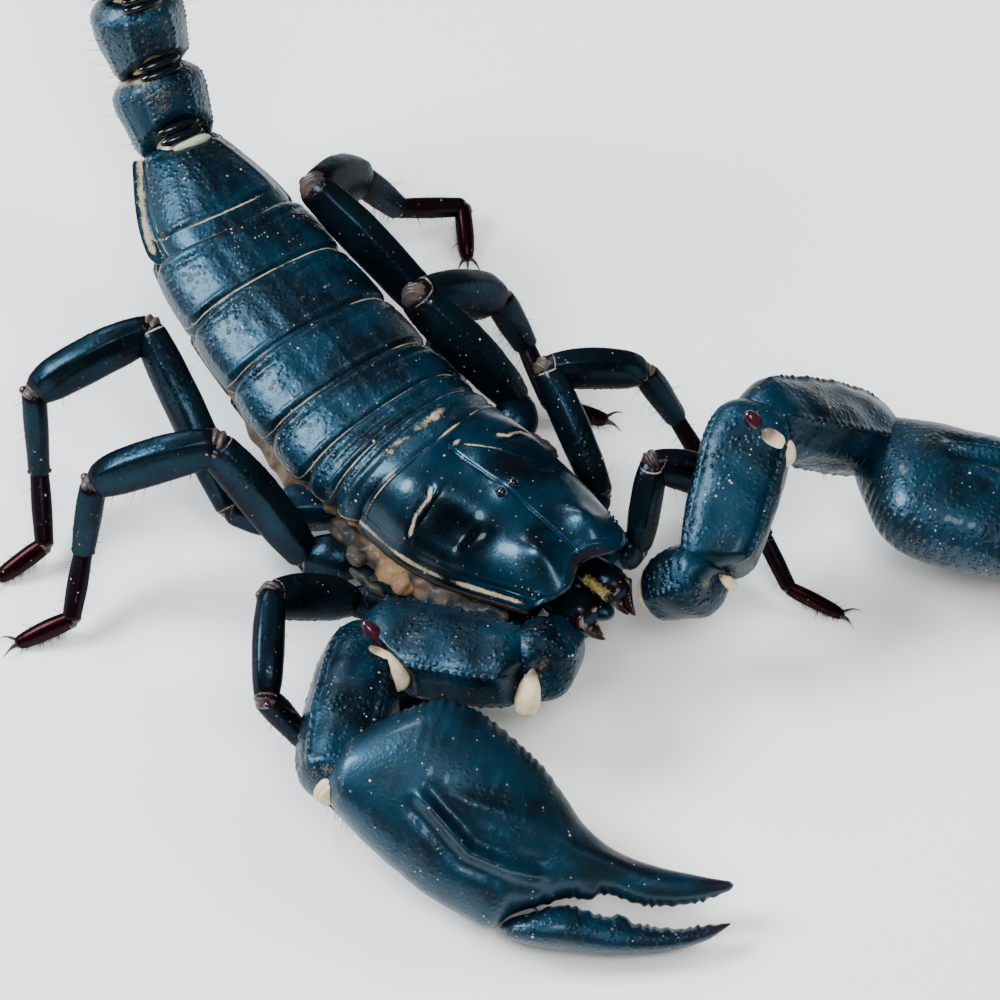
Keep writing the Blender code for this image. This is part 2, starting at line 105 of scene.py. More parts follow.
fingerRows = (
    (15.2, -7.0, -8.1, 0.8), (17.2, -6.0, -8.4, 1.9), (19.6, -4.8, -8.3, 2.1), (22.6, -4.9, -8.0, 1.9),
    (25.6, -4.9, -7.3, 1.6), (28.6, -4.5, -6.3, 1.2), (31.2, -3.6, -4.8, 0.7), (32.8, -2.9, -3.2, 0.3),
)


class Wire:
    # A socket whose operators add Math nodes.
    def __init__(self, tree, socket):
        self.tree, self.socket = tree, socket

    def math(self, operation, *others, clamp=False):
        return self.tree.node("ShaderNodeMath", {"operation": operation, "use_clamp": clamp},
                              dict(enumerate((self, *others))))

    def __add__(self, other):
        return self.math("ADD", other)

    def __sub__(self, other):
        return self.math("SUBTRACT", other)

    def __mul__(self, other):
        return self.math("MULTIPLY", other)

    __radd__, __rmul__ = __add__, __mul__

    def __rsub__(self, other):
        return self.tree.node("ShaderNodeMath", {"operation": "SUBTRACT"}, {0: other, 1: self})

    def clamp(self):
        return self.math("MULTIPLY", 1.0, clamp=True)

    def step(self, low, high):
        # 0 below low, 1 above high, and smooth between.
        return self.tree.node("ShaderNodeMapRange", {"interpolation_type": "SMOOTHSTEP"},
                              {"Value": self, "From Min": low, "From Max": high})


class Finish:
    # A new material, and the methods that add nodes to it.
    def __init__(self, name, roughness, coat=0.0, level=0.5, tint=(1, 1, 1), subsurface=0.0):
        self.material = bpy.data.materials.new(name)
        self.material.use_nodes = True
        self.nodes, self.links = self.material.node_tree.nodes, self.material.node_tree.links
        self.shader = self.nodes["Principled BSDF"]
        fixed = {
            "Roughness": roughness, "Coat Weight": coat, "Coat Roughness": 0.10,
            "Specular IOR Level": level, "Specular Tint": (*tint, 1), "Subsurface Weight": subsurface,
            "Subsurface Radius": (0.8 * mm, 0.5 * mm, 0.3 * mm),
        }
        for key, value in fixed.items():
            self.shader.inputs[key].default_value = value
        place = self.node("ShaderNodeTexCoord", {}, {}, "Object")
        self.place = self.node("ShaderNodeMapping", {}, {"Vector": place, "Scale": (1 / mm,) * 3}, "Vector")

    def node(self, kind, settings, values, output=0):
        made = self.nodes.new(kind)
        for key, value in settings.items():
            setattr(made, key, value)
        for key, value in values.items():
            self.feed(made.inputs[key], value)
        return Wire(self, made.outputs[output])

    def feed(self, socket, value):
        if isinstance(value, Wire):
            self.links.new(value.socket, socket)
        else:
            socket.default_value = value

    def noise(self, scale, detail=3.0, roughness=0.55, offset=(0, 0, 0)):
        place = self.node("ShaderNodeMapping", {}, {"Vector": self.place, "Location": offset}, "Vector")
        return self.node("ShaderNodeTexNoise", {}, {"Vector": place, "Scale": scale, "Detail": detail,
                                                    "Roughness": roughness})

    def cells(self, scale, output="Distance"):
        return self.node("ShaderNodeTexVoronoi", {}, {"Vector": self.place, "Scale": scale}, output)

    def dots(self, scale, size, share):
        # Round specks on some of the cells: 1 inside a speck.
        picked = self.node("ShaderNodeSeparateColor", {}, {"Color": self.cells(scale, "Color")}, "Red")
        return (1 - self.cells(scale).step(size * 0.5, size)) * picked.step(1 - share, 1.02 - share)

    def mark(self, name):
        return self.node("ShaderNodeAttribute", {"attribute_name": name}, {}, "Fac")

    def mix(self, part, one, other):
        made = self.nodes.new("ShaderNodeMix")
        made.data_type = "RGBA"
        self.feed(made.inputs[0], part)
        for socket, value in ((made.inputs[6], one), (made.inputs[7], other)):
            self.feed(socket, value if isinstance(value, Wire) else (*value, 1))
        return Wire(self, made.outputs[2])

    def bump(self, height, distance, under=None):
        values = {"Height": height, "Distance": distance * mm, "Strength": 1.0}
        if under:
            values["Normal"] = under
        return self.node("ShaderNodeBump", {}, values)

    def set(self, **values):
        for key, value in values.items():
            self.feed(self.shader.inputs[key.replace("_", " ")], value)
        return self.material


colours = {
    "deep": (0.0004, 0.0014, 0.0026),
    "teal": (0.0008, 0.0085, 0.0165),
    "haze": (0.007, 0.030, 0.048),
    "dust": (0.33, 0.255, 0.165),
    "mud": (0.28, 0.155, 0.075),
    "speck": (0.58, 0.50, 0.38),
    "maroon": (0.016, 0.0026, 0.0036),
    # near-black painted shade, laid on by the dark mark
    "hollow": (0.0001, 0.0003, 0.0005),
    "sheenTint": (0.34, 0.70, 1.0),
    "deepGloss": (0.006, 0.012, 0.018),
    "tealGloss": (0.008, 0.021, 0.031),
    "edgeTint": (0.14, 0.22, 0.31),
}


def cuticle(name, grain=0.05, dusty=0.5, shine=0.3, coat=0.2, level=0.42, pitch=2.0, metal=0.0):
    # Hard shell, mottled blue-black. Marks on the mesh: dust, red, dark for painted shade (near black,
    # rougher, metal-dark) in hollows and on hidden undersides, grit for granules.
    # A share of metal keeps the edges of round limbs dark.
    made = Finish(name, shine, coat, level, colours["edgeTint"] if metal else colours["sheenTint"])
    deep, teal = ("deepGloss", "tealGloss") if metal else ("deep", "teal")
    cloud = made.noise(0.22, 4)
    wide = made.noise(1.1, 4, 0.6, (2, 9, 4))
    fine = made.noise(4.5, 3, 0.65, (7, 3, 1))
    dust, red, grit = made.mark("dust"), made.mark("red"), made.mark("grit")
    base = made.mix(cloud.step(0.38, 0.62), colours[deep], colours[teal])
    base = made.mix(wide.step(0.55, 0.8) * (0.25 * dusty), base, colours["haze"])
    base = made.mix((red * (0.6 + fine)).clamp(), base, colours["maroon"])
    sand = made.noise(11, 2, 0.6, (1, 8, 3))
    # painted shade: the dark mark turns the colour near black
    base = made.mix(made.mark("dark") * 0.9, base, colours["hollow"])
    powder = (dust * 1.3 + fine * 0.9 + sand * 1.0 + wide * 0.4 - 1.75).step(0.0, 0.45)
    earth = made.mix(wide.step(0.48, 0.68), colours["dust"], colours["mud"])
    base = made.mix(powder * 0.9, base, earth)
    cluster = made.noise(0.42, 3, 0.6, (5, 5, 8)).step(0.46, 0.66)
    specks = (made.dots(1.3, 0.17, 0.10 + 0.16 * dusty) * (0.15 + cluster)
              + made.dots(3.1, 0.24, 0.07 + 0.12 * dusty) * cluster).clamp()
    base = made.mix(specks * 0.75, base, colours["speck"])
    rough = shine + wide * 0.10 + fine * 0.06 - 0.06 + powder * 0.5 + specks * 0.3
    rough = (rough + made.mark("dark") * 0.1).clamp()
    domes = 1 - made.cells(pitch).step(0.0, 0.55)
    normal = made.bump(wide, 0.035)
    normal = made.bump(fine, grain * 0.35, normal)
    normal = made.bump(domes * grit + powder * fine * 0.25, 0.20, normal)
    # the dark mark's painted shade also turns the gloss metal-dark, a painted dark reflection
    made.set(Metallic=((1 - powder) * (1 - specks) * metal + made.mark("dark") * 0.9).clamp())
    return made.set(Base_Color=base, Roughness=rough, Normal=normal)


def membraneFinish(name, pale, dark, sheen, level=0.4, earth=colours["mud"]):
    # Soft joint skin with fine pleats and a little dust.
    made = Finish(name, sheen, 0.05, level, (1, 1, 1), 0.1)
    wide = made.noise(0.8, 4)
    fine = made.noise(3.2, 4, 0.65, (3, 1, 8))
    dust = made.mark("dust")
    base = made.mix((wide * 0.7 + fine * 0.5).step(0.4, 0.78), pale, dark)
    base = made.mix((dust * (fine + 0.25)).clamp(), base, earth)
    base = made.mix((made.mark("red") * (0.7 + 0.6 * fine)).clamp(), base, colours["maroon"])
    base = made.mix((made.mark("dark") * (0.8 + 0.4 * fine)).clamp(), base, colours["deep"])
    rough = (sheen + dust * 0.25 + fine * 0.1).clamp()
    return made.set(Base_Color=base, Roughness=rough, Normal=made.bump(fine, 0.07, made.bump(wide, 0.15)))


def clawFinish(name, tip, root, shine=0.2):
    # Dark translucent red-brown horn, streaked along its length.
    made = Finish(name, shine, 0.3, 0.5, (1, 1, 1), 0.03)
    streak = made.noise(1.6, 4)
    base = made.mix(streak.step(0.35, 0.7), tip, root)
    base = made.mix((made.mark("dust") * streak).clamp(), base, colours["dust"])
    rough = shine - 0.06 + streak * 0.2
    return made.set(Base_Color=base, Roughness=rough, Normal=made.bump(made.noise(5), 0.02))


finishes = {
    "carapace": cuticle("carapaceShell", 0.045, 0.40, 0.29, 0.10, 0.34),
    "plate": cuticle("platesShell", 0.11, 0.85, 0.37, 0.07, 0.55),
    "limb": cuticle("limbShell", 0.06, 0.25, 0.29, 0.04, 0.42, metal=0.85),
    "palp": cuticle("palpShell", 0.09, 0.60, 0.37, 0.05, 0.36),
    "hand": cuticle("handShell", 0.08, 0.40, 0.40, 0.12, 0.58, pitch=2.1),
    "tail": cuticle("tailShell", 0.16, 1.2, 0.42, 0.12, 0.62),
    "skin": membraneFinish("pleuralSkin", (0.105, 0.062, 0.034), (0.020, 0.012, 0.008), 0.5, 0.25,
                           (0.20, 0.125, 0.066)),
    "mud": membraneFinish("driedMud", (0.017, 0.013, 0.011), (0.006, 0.005, 0.005), 0.55, 0.25,
                          (0.19, 0.105, 0.048)),
    "cuff": membraneFinish("legJointSkin", (0.030, 0.018, 0.018), (0.010, 0.005, 0.008), 0.32, 0.4,
                           (0.10, 0.065, 0.04)),
    "cream": membraneFinish("jointSkin", (0.58, 0.53, 0.38), (0.46, 0.36, 0.20), 0.24, 0.5),
    "condyle": clawFinish("jointKnob", (0.030, 0.004, 0.009), (0.008, 0.002, 0.004), 0.18),
    "eye": clawFinish("eyeLens", (0.002, 0.002, 0.003), (0.004, 0.005, 0.006), 0.08),
    "claw": clawFinish("clawHorn", (0.006, 0.002, 0.002), (0.020, 0.005, 0.004)),
    "polished": clawFinish("polishedJoint", (0.001, 0.002, 0.003), (0.002, 0.004, 0.006), 0.12),
    "crescent": membraneFinish("tailJointSkin", (0.30, 0.36, 0.25), (0.20, 0.21, 0.13), 0.25),
    "bristle": clawFinish("bristleHorn", (0.02, 0.008, 0.005), (0.06, 0.028, 0.014)),
    "brush": clawFinish("goldenBrush", (0.17, 0.13, 0.03), (0.27, 0.22, 0.07), 0.35),
}
print("finishes made")


def direction(heading, rise):
    h, r = radians(heading), radians(rise)
    return Vector((cos(r) * cos(h), cos(r) * sin(h), sin(r)))


def sideways(forward):
    return Vector((forward.y, -forward.x, 0)).normalized()


def chain(start, steps):
    points, ways = [Vector(start)], []
    for length, heading, rise in steps:
        ways.append(direction(heading, rise))
        points.append(points[-1] + ways[-1] * length)
    return points, ways


def smoothRow(rows, where):
    # A table's row at any value of its first column, on a smooth curve through the rows.
    low = 0
    while low < len(rows) - 2 and where > rows[low + 1][0]:
        low += 1
    before, one = rows[max(low - 1, 0)], rows[low]
    two, after = rows[low + 1], rows[min(low + 2, len(rows) - 1)]
    gap = two[0] - one[0]
    x = min(max((where - one[0]) / gap, 0), 1)
    found = []
    for a, b, c, d in zip(before[1:], one[1:], two[1:], after[1:]):
        slopeOne = (c - a) / (two[0] - before[0]) * gap
        slopeTwo = (d - b) / (after[0] - one[0]) * gap
        found.append(b + x * (slopeOne + x * ((3 * (c - b) - 2 * slopeOne - slopeTwo)
                                              + x * (2 * (b - c) + slopeOne + slopeTwo))))
    return found


trunkTable = [(station, *row) for station, row in enumerate(trunkRows)]


def trunkAt(where):
    # Midpoint, backward direction, half width, back's rise and underside's depth at a station.
    x, y, z, width, rise, depth = smoothRow(trunkTable, where)
    rise *= 1 - 0.22 * ramp(where, 3.8, 6.2)  # the back plates lie flatter than the head shield
    before, after = smoothRow(trunkTable, max(where - 0.5, 0)), smoothRow(trunkTable, min(where + 0.5, 11))
    backward = (Vector(after[:3]) - Vector(before[:3])).normalized()
    return Vector((x, y, z)), backward, width, rise, depth


def trunkFrame(where):
    # A station's midpoint, its sideways and upward directions, and the same three sizes.
    centre, backward, *sizes = trunkAt(where)
    side = sideways(backward)
    return centre, side, side.cross(backward), *sizes


def hump(value, middle, width):
    return exp(-((value - middle) / width) ** 2)


def ramp(value, low, high):
    part = min(max((value - low) / (high - low), 0), 1)
    return part * part * (3 - 2 * part)


def clamped(value):
    return min(max(value, 0.0), 1.0)


def power(value, degree):
    return abs(value) ** degree * (1 if value > 0 else -1)


markNames = ("dust", "red", "dark", "grit")


def newPiece():
    bm = bmesh.new()
    for name in markNames:
        bm.verts.layers.float.new(name)
    return bm


def surface(bm, rings, sides, shape):
    # A closed tube. shape(along, angle) gives a point and its marks; along is 0 to 1, angle -pi to pi.
    layers = {name: bm.verts.layers.float[name] for name in markNames}
    made = bmesh.ops.create_grid(bm, x_segments=sides, y_segments=rings, size=1)["verts"]
    for vert in made:
        point, marks = shape((vert.co.y + 1) / 2, vert.co.x * pi)
        vert.co = point
        for name, amount in marks.items():
            vert[layers[name]] = amount
    bmesh.ops.remove_doubles(bm, verts=made, dist=1e-4)


def newObject(name, data):
    made = bpy.data.objects.new(name, data)
    bpy.context.scene.collection.objects.link(made)
    return made


def finishPiece(bm, name, finish, replaced=()):
    # Puts the piece in its place in metres and hands it to the frame.
    edges = [edge for edge in bm.edges if edge.is_boundary]
    if edges:
        bmesh.ops.holes_fill(bm, edges=edges)
    for vert in bm.verts:
        vert.co = (vert.co + bodyStart) * mm
        vert.co.z = max(vert.co.z, 0)
    bmesh.ops.triangulate(bm, faces=[face for face in bm.faces if len(face.verts) > 4])
    bmesh.ops.recalc_face_normals(bm, faces=bm.faces)
    mesh = bpy.data.meshes.new(name)
    bm.to_mesh(mesh)
    bm.free()
    mesh.materials.append(finishes[finish])
    mesh.shade_smooth()
    made = newObject(name, mesh)
    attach(made, "root")
    if replaced:
        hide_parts(*replaced)


class Limb:
    # One straight segment of a limb: its frame, its smooth profile and its keels.
    def __init__(self, start, end, rows, across, **look):
        self.look = {"caps": (1.0, 1.0), "extend": (0.0, 0.0), "keels": (), "power": 1.0, "bow": (0, 0),
                     "grit": 0.0, "dust": 0.0, "dustEnds": 0.5, "redEnds": 0.0, "red": 0.0,
                     "roll": 0.04, "seed": 0.0, "ring": 0.0,
                     "open": ((0, Vector((0, 0, 1))), (0, Vector((0, 0, 1)))), **look}
        self.start, self.rows = start, rows
        self.length = (end - start).length
        self.forward = (end - start).normalized()
        self.across = (across - self.forward * across.dot(self.forward)).normalized()
        self.up = self.across.cross(self.forward)
        self.cuts = [(cut, atan2(way.dot(self.up), way.dot(self.across))) for cut, way in self.look["open"]]

    def at(self, along, angle):
        # Along runs 0 to 1 over the whole piece with its extensions.
        look = self.look
        low, high = -look["extend"][0], self.length + look["extend"][1]
        (lowCut, lowTurn), (highCut, highTurn) = self.cuts  # either end may be cut back on one side
        low += lowCut * max(0.0, cos(angle - lowTurn))
        high -= highCut * max(0.0, cos(angle - highTurn))
        place = low + (high - low) * along
        share = place / self.length
        halfWidth, halfHeight = smoothRow(self.rows, share)[:2]
        size = 1.0
        for gone, cap in ((place - low, look["caps"][0]), (high - place, look["caps"][1])):
            if gone < cap:
                size *= sqrt(max(0.0, 1 - (1 - gone / cap) ** 2))
        x, y = power(cos(angle), look["power"]), power(sin(angle), look["power"])
        keelSize = size * ramp(share, -0.02, 0.15) * ramp(1.02 - share, 0, 0.15)
        ridge = 0.0
        for keelAngle, height, spread, pitch, tooth in look["keels"]:
            away = (degrees(angle) - keelAngle + 180) % 360 - 180
            on = exp(-(away / spread) ** 2)
            if on > 0.02:
                wave = 0.5 + 0.5 * cos(2 * pi * place / pitch + 1.3 * sin(place * 1.7 + keelAngle))
                uneven = 0.55 + 0.45 * sin(place * 2.9 + keelAngle * 3) * sin(place * 1.1)
                ridge += on * (height + tooth * wave ** 1.5 * uneven) * keelSize
        bowed = 4 * share * (1 - share)
        centre = self.start + self.forward * place
        centre = centre + self.across * look["bow"][0] * bowed + self.up * look["bow"][1] * bowed
        out = self.across * x * halfWidth + self.up * y * halfHeight
        outward = (self.across * x / halfWidth + self.up * y / halfHeight).normalized()
        return centre + out * size + outward * ridge, outward, share

    def build(self, bm, rings, sides):
        look = self.look

        def shape(along, angle):
            spaced = along - 0.12 * sin(2 * pi * along)  # closer rings near both ends
            point, outward, share = self.at(spaced, angle)
            roll = noise.noise(point * 0.45 + Vector((look["seed"], 0, 0)))
            patch = max(0.0, 0.5 + 1.1 * noise.noise(point * 0.35 + Vector((0, look["seed"], 0))))
            point = point + outward * look["roll"] * roll * min(1, 8 * spaced * (1 - spaced))
            near = max(hump(share, 0, 0.05), hump(share, 1, 0.05))
            ends = hump(share * self.length, 0.15, 0.10), hump((1 - share) * self.length, 0.1, 0.10)
            ring = look["ring"] * max(ends)
            dust = look["dust"] * (0.5 + 0.5 * roll) + look["dustEnds"] * near * (0.55 + 0.6 * roll)
            dust = max(dust, ring * (0.9 + roll))
            return point, {"dust": clamped(dust), "red": look["red"] + look["redEnds"] * near,
                           "grit": look["grit"] * patch}

        surface(bm, rings, sides, shape)
        return self


def bristle(bm, root, way, length, radius=0.028, sides=4):
    turn = way.normalized().to_track_quat("Z", "X").to_matrix().to_4x4()
    place = Matrix.Translation(root + way.normalized() * length / 2) @ turn
    bmesh.ops.create_cone(bm, segments=sides, radius1=radius, radius2=radius * 0.2, depth=length,
                          matrix=place, cap_ends=True)


def fold(bm, centre, forward, across, halfWidth, halfHeight, length, pleats=3, depth=0.06):
    # Soft pleated joint skin: a short tube with rounded ends that tuck into its neighbours.
    up = across.cross(forward).normalized()
    across = up.cross(forward) * -1

    def shape(along, angle):
        place = (along - 0.5) * 2
        size = sqrt(max(0.0, 1 - abs(place) ** 3))
        size *= 1 + depth * cos(2 * pi * pleats * along + 0.6 * sin(2 * angle))
        roll = noise.noise((centre + up * sin(angle) + across * cos(angle)) * 0.8)
        out = across * cos(angle) * halfWidth + up * sin(angle) * halfHeight
        return centre + forward * place * length / 2 + out * size, {"dust": max(0.0, 0.2 + 0.8 * roll)}

    surface(bm, 26, 32, shape)


def blob(bm, centre, long, wide, sizes, pleats=0, pleat=0.0, marks=None, taper=0.0, lump=0.0):
    # A smooth bulge: sizes are its half lengths along long, along wide and across both.
    # Taper thins its first end.
    long = long.normalized()
    wide = (wide - long * wide.dot(long)).normalized()
    third = long.cross(wide)

    def shape(along, angle):
        turn = pi * along
        radius = sin(turn) * (1 + pleat * cos(2 * pi * pleats * along)) * (1 - taper * cos(turn))
        point = centre - long * cos(turn) * sizes[0]
        point = point + wide * cos(angle) * radius * sizes[1] + third * sin(angle) * radius * sizes[2]
        if lump:
            outward = (point - centre).normalized()
            point = point + outward * lump * noise.noise(point * 1.1) * min(1.0, 3 * radius)
        return point, marks(along, angle) if marks else {}

    surface(bm, 24, 28, shape)


print("helpers ready")

# The head shield.
carapaceLook = {
    "notchDepth": 0.30, "furrowDepth": 0.26, "tubercle": 0.55, "rim": 0.40, "rings": 200, "sides": 260,
    "diagonal": ((0.10, 3.40), (0.25, 3.08), (0.42, 2.70), (0.62, 2.30)),
    "crescent": ((0.46, 3.16), (0.58, 3.03), (0.76, 3.06), (0.95, 2.97)),
    "bulges": (  # height, then middle and reach over the width's share and over the stations
        (0.85, 0.50, 0.22, 0.78, 0.38), (0.30, 0.66, 0.24, 3.42, 0.26), (0.16, 0.62, 0.12, 1.75, 0.12),
    ),
    "topShare": 0.86,  # of the way round, the rest is the hidden underside
    "rearEdge": 3.98, "rearCurve": 0.20, "eyeStation": 2.05, "eyeRadius": 0.44, "eyeApart": 0.66,
    "sideEyes": ((0.93, 0.66, 0.21), (0.938, 0.79, 0.19), (0.946, 0.92, 0.17)),  # share, station, radius
}
skirts = {-1: (0.45, 0.60), 1: (0.0, 0.25)}  # how far the plates' edges reach out and down, right and left


def backTop(share):
    # Height of the back above the margins, over the half width's share.
    return max(0.0, 1 - abs(share) ** 2.5) ** 0.575


def aroundPlate(angle, topShare):
    # A plate's point by its angle: the side it is on, its share of the half width, and if it lies below.
    turn = angle / pi
    under = abs(turn) > topShare
    sign = 1 if turn > 0 else -1
    share = sign * (1 - abs(turn)) / (1 - topShare) if under else sin(pi / 2 * turn / topShare)
    return sign, share, under


def awayFrom(line, along, across):
    # Distance from a broken line, and how far along it, 0 to 1.
    best, share = 1e9, 0.0
    for number, (one, two) in enumerate(zip(line, line[1:])):
        dx, dy = two[0] - one[0], two[1] - one[1]
        part = min(max(((along - one[0]) * dx + (across - one[1]) * dy) / (dx * dx + dy * dy), 0), 1)
        gone = sqrt((along - one[0] - part * dx) ** 2 + (across - one[1] - part * dy) ** 2)
        if gone < best:
            best, share = gone, (number + part) / (len(line) - 1)
    return best, share


def frontStation(share):
    # Where the shield's front edge lies: two rounded lobes beside a deep bay.
    size = abs(share)
    bay = carapaceLook["notchDepth"] * exp(-(size / 0.34) ** 2)
    corner = 0.55 * (1 - sqrt(max(0.0, 1 - (max(0.0, size - 0.5) / 0.5) ** 2)))
    return 0.12 + bay + corner


def carapacePoint(share, where):
    # Point of the back's surface and its marks; where is a trunk station.
    centre, side, up, width, rise, _ = trunkFrame(where)
    size, sign = abs(share), 1 if share > 0 else -1
    front = frontStation(share)
    slope = (frontStation(size + 0.02) - front) * 4.5 / (0.02 * width)
    inside = (where - front) * 4.5 / sqrt(1 + slope * slope)  # mm in from the front edge
    x = share * width
    arch = rise * backTop(share)
    height = arch
    for lift, over, wide, station, long in carapaceLook["bulges"]:
        height += lift * hump(size, over, wide) * hump(where, station, long)
    nose = 1 - max(0.0, 1 - max(inside, 0.0) / 1.7)
    height *= 0.42 + 0.58 * sqrt(max(0.0, 1 - (1 - nose) ** 2))
    hollow = ramp(where, 3.03, 2.93) * (0.45 + 0.40 * ramp(where, 2.9, 2.3)) * ramp(where, 1.85, 2.2)
    hollow *= hump(size, 0.68, 0.20) * (1 if share < 0 else 0.6)
    height -= hollow
    # Painted shade: the hollow behind the right frontal lobe is painted near black through the dark mark,
    # more weakly on the left.
    shade = ramp(where, 3.03, 2.93) * ramp(where, 1.35, 1.95) * hump(size, 0.66, 0.27)
    shade *= 1 if share < 0 else 0.3
    height -= 0.40 * exp(-(x / 1.25) ** 2) * hump(where, 0.70, 0.55)
    eyeGone = (where - carapaceLook["eyeStation"]) * 5
    height += carapaceLook["tubercle"] * exp(-(x / 1.1) ** 2 - (eyeGone / 1.5) ** 2)
    furrow = ramp(where, front, front + 0.2) * (1 - ramp(where, 3.35, 3.6))
    cleft = carapaceLook["furrowDepth"] * furrow * exp(-(x / 0.13) ** 2)
    height -= cleft * (1 - 0.3 * hump(eyeGone, 0, 1.2))
    height -= 0.30 * exp(-(x / 1.2) ** 2) * ramp(where, 2.7, 3.25) * (1 - ramp(where, 3.3, 3.65))
    dust, ripple = 0.0, noise.noise(Vector((x * 0.42, where * 2.1, 3)))
    if where > 2.0:
        left = 1 if share > 0 else 0
        for name, depth, spread, amount in (("diagonal", 0.13 * left, 0.16, 0.7 * left),
                                            ("crescent", 0.22, 0.28, 0.95)):
            line = [(point[0] * 7, (4 - point[1]) * 5) for point in carapaceLook[name]]
            away, part = awayFrom(line, size * 7, (4 - where) * 5)
            ends = ramp(part, -0.05, 0.15) * (1 - ramp(part, 0.9, 1.0) * 0.7)
            height -= depth * exp(-(away / spread) ** 2) * ends
            thick = 0.24 if name == "crescent" else 0.10
            dust = max(dust, amount * exp(-(away / thick) ** 2) * ends * (0.85 + 1.2 * ripple))
    inEdge = 0.35 - arch
    edge = ramp(inEdge, -0.1, 0.35)
    out, down = skirts[sign]
    x += sign * edge * max(out, 0.15)
    height -= edge * (down + 0.15)
    height += 0.10 * exp(-((arch - 0.75) / 0.16) ** 2) - 0.10 * exp(-((arch - 0.50) / 0.10) ** 2)
    bayEdge = hump(inside, 0.45, 0.22) * (1 - ramp(size, 0.35, 0.6))
    height += 0.20 * bayEdge + 0.06 * ripple * ramp(inside, 0, 1.5)
    rear = carapaceLook["rearEdge"] - carapaceLook["rearCurve"] * (1 - size * size)
    height -= 0.10 * hump(rear - where, 0.11, 0.025)
    dust = max(dust, (0.90 + 0.9 * ripple) * exp(-((arch - 0.20) / 0.07) ** 2) * ramp(where, 0.5, 1.0))
    dust = max(dust, 0.35 * furrow * exp(-(x / 0.10) ** 2) * (0.6 + 2 * abs(ripple)))
    dust = max(dust, (0.50 + ripple) * hump(where, 3.44, 0.05) * hump(abs(x), 0.6, 0.6))
    dust = max(dust, (0.50 + 1.2 * ripple) * hump(where, 3.2, 0.05) * hump(x, 0.1, 0.3))
    dust = max(dust, 0.46 * hump(eyeGone, 1.2, 0.8) * hump(x, -0.9, 0.7))
    dust = max(dust, (0.55 + ripple) * hump(rear - where, 0.10, 0.02))
    red = 0.5 * (1 - ramp(inside, 0.1, 0.5)) * (1 - ramp(size, 0.3, 0.5))
    marks = {"dust": clamped(dust), "red": red, "dark": min(1.0, 1.5 * shade)}
    return centre + side * x + up * (lip + height), marks


def buildCarapace():
    bm = newPiece()

    def shape(along, angle):
        sign, share, under = aroundPlate(angle, carapaceLook["topShare"])
        front = frontStation(share)
        rear = carapaceLook["rearEdge"] - carapaceLook["rearCurve"] * (1 - share * share)
        where = front + (rear - front) * (along - 0.09 * sin(2 * pi * along))
        if not under or along in (0, 1):  # the underside meets the top along both ends
            return carapacePoint(share, where)
        centre, side, up, width, rise, _ = trunkFrame(where)
        out, down = skirts[sign]
        hollow = 0.7 * rise * backTop(share) * ramp(1 - abs(share), 0, 0.3)
        edge = ramp(abs(share), 0.9, 1.0)
        across = side * (share * width * 0.985 + sign * edge * max(out, 0.15))
        # the hidden underside is painted near black as shade
        return centre + (across + up * (hollow - 0.2 - edge * down)), {"dark": 1.0}

    surface(bm, carapaceLook["rings"], carapaceLook["sides"], shape)
    finishPiece(bm, "headShield", "carapace", ("carapace",))

    for side, sign in leftSign.items():
        place, _ = carapacePoint(sign * carapaceLook["eyeApart"] / 6.8, carapaceLook["eyeStation"])
        _, backward, *_ = trunkAt(carapaceLook["eyeStation"])
        look = (sideways(backward) * sign * 0.75 + Vector((0, 0, 1))).normalized()
        turn = look.to_track_quat("Z", "Y").to_matrix().to_4x4()
        bm = newPiece()
        lens = Matrix.Translation(place + look * 0.02) @ turn @ Matrix.Diagonal((1, 1, 0.85, 1))
        bmesh.ops.create_uvsphere(bm, u_segments=28, v_segments=18, radius=carapaceLook["eyeRadius"],
                                  matrix=lens)
        finishPiece(bm, f"medianEye{side.title()}", "eye", (f"median_eye_{side}",))
        bm = newPiece()
        for share, station, radius in carapaceLook["sideEyes"]:
            spot, _ = carapacePoint(sign * share, station)
            bmesh.ops.create_uvsphere(bm, u_segments=18, v_segments=12, radius=radius,
                                      matrix=Matrix.Translation(spot))
        finishPiece(bm, f"sideEyes{side.title()}", "eye")

        def socket(along, angle):
            ring = along * 2 * pi
            way = Vector((cos(ring), sin(ring), 0))
            lift = way * (0.48 + 0.11 * cos(angle)) + Vector((0, 0, 0.11 * sin(angle) - 0.04))
            return place + turn.to_3x3() @ lift, {"dust": 0.15 + 0.35 * sin(3 * ring)}

        bm = newPiece()  # the raised socket round the eye
        surface(bm, 28, 10, socket)
        finishPiece(bm, f"eyeSocket{side.title()}", "carapace")


buildCarapace()
print("head shield done")

# The seven back plates.
plateLook = {
    "rings": 60, "sides": 230, "overlap": 0.28, "corner": 1.3, "line": 0.085,
    "middleSeams": (3.80, 4.76, 5.87, 6.84, 7.86, 8.83, 9.64, 10.98),
    "sideSeams": (3.98, 4.95, 5.97, 6.92, 7.90, 8.88, 9.80, 11.05),
    "lineStrength": (0.0, 0.85, 0.95, 0.90, 0.80, 0.95, 1.0),  # of the pale line behind each seam
    "middleFade": (0.9, 0.25, 0.1, 0.45, 0.85, 0.0, 0.0),  # how much of it is lost over the middle
    "topShare": 0.88,  # of the way round, the rest is the hidden underside
    "lastBand": 1.75,  # the last plate shows its smooth front band
    "lastFlange": {-1: 0.84, 1: 0.94},  # and has a flat border from this share of its half width,
    "lastBorder": {-1: 0.75, 1: 1.85},  # with a pale line this far in from its edge, right and left
}


def insetFrom(one, two, radius):
    # Distance inside a corner rounded to a radius, from the distances to its two straight sides.
    if one < radius and two < radius:
        return radius - sqrt((radius - one) ** 2 + (radius - two) ** 2)
    return min(one, two)


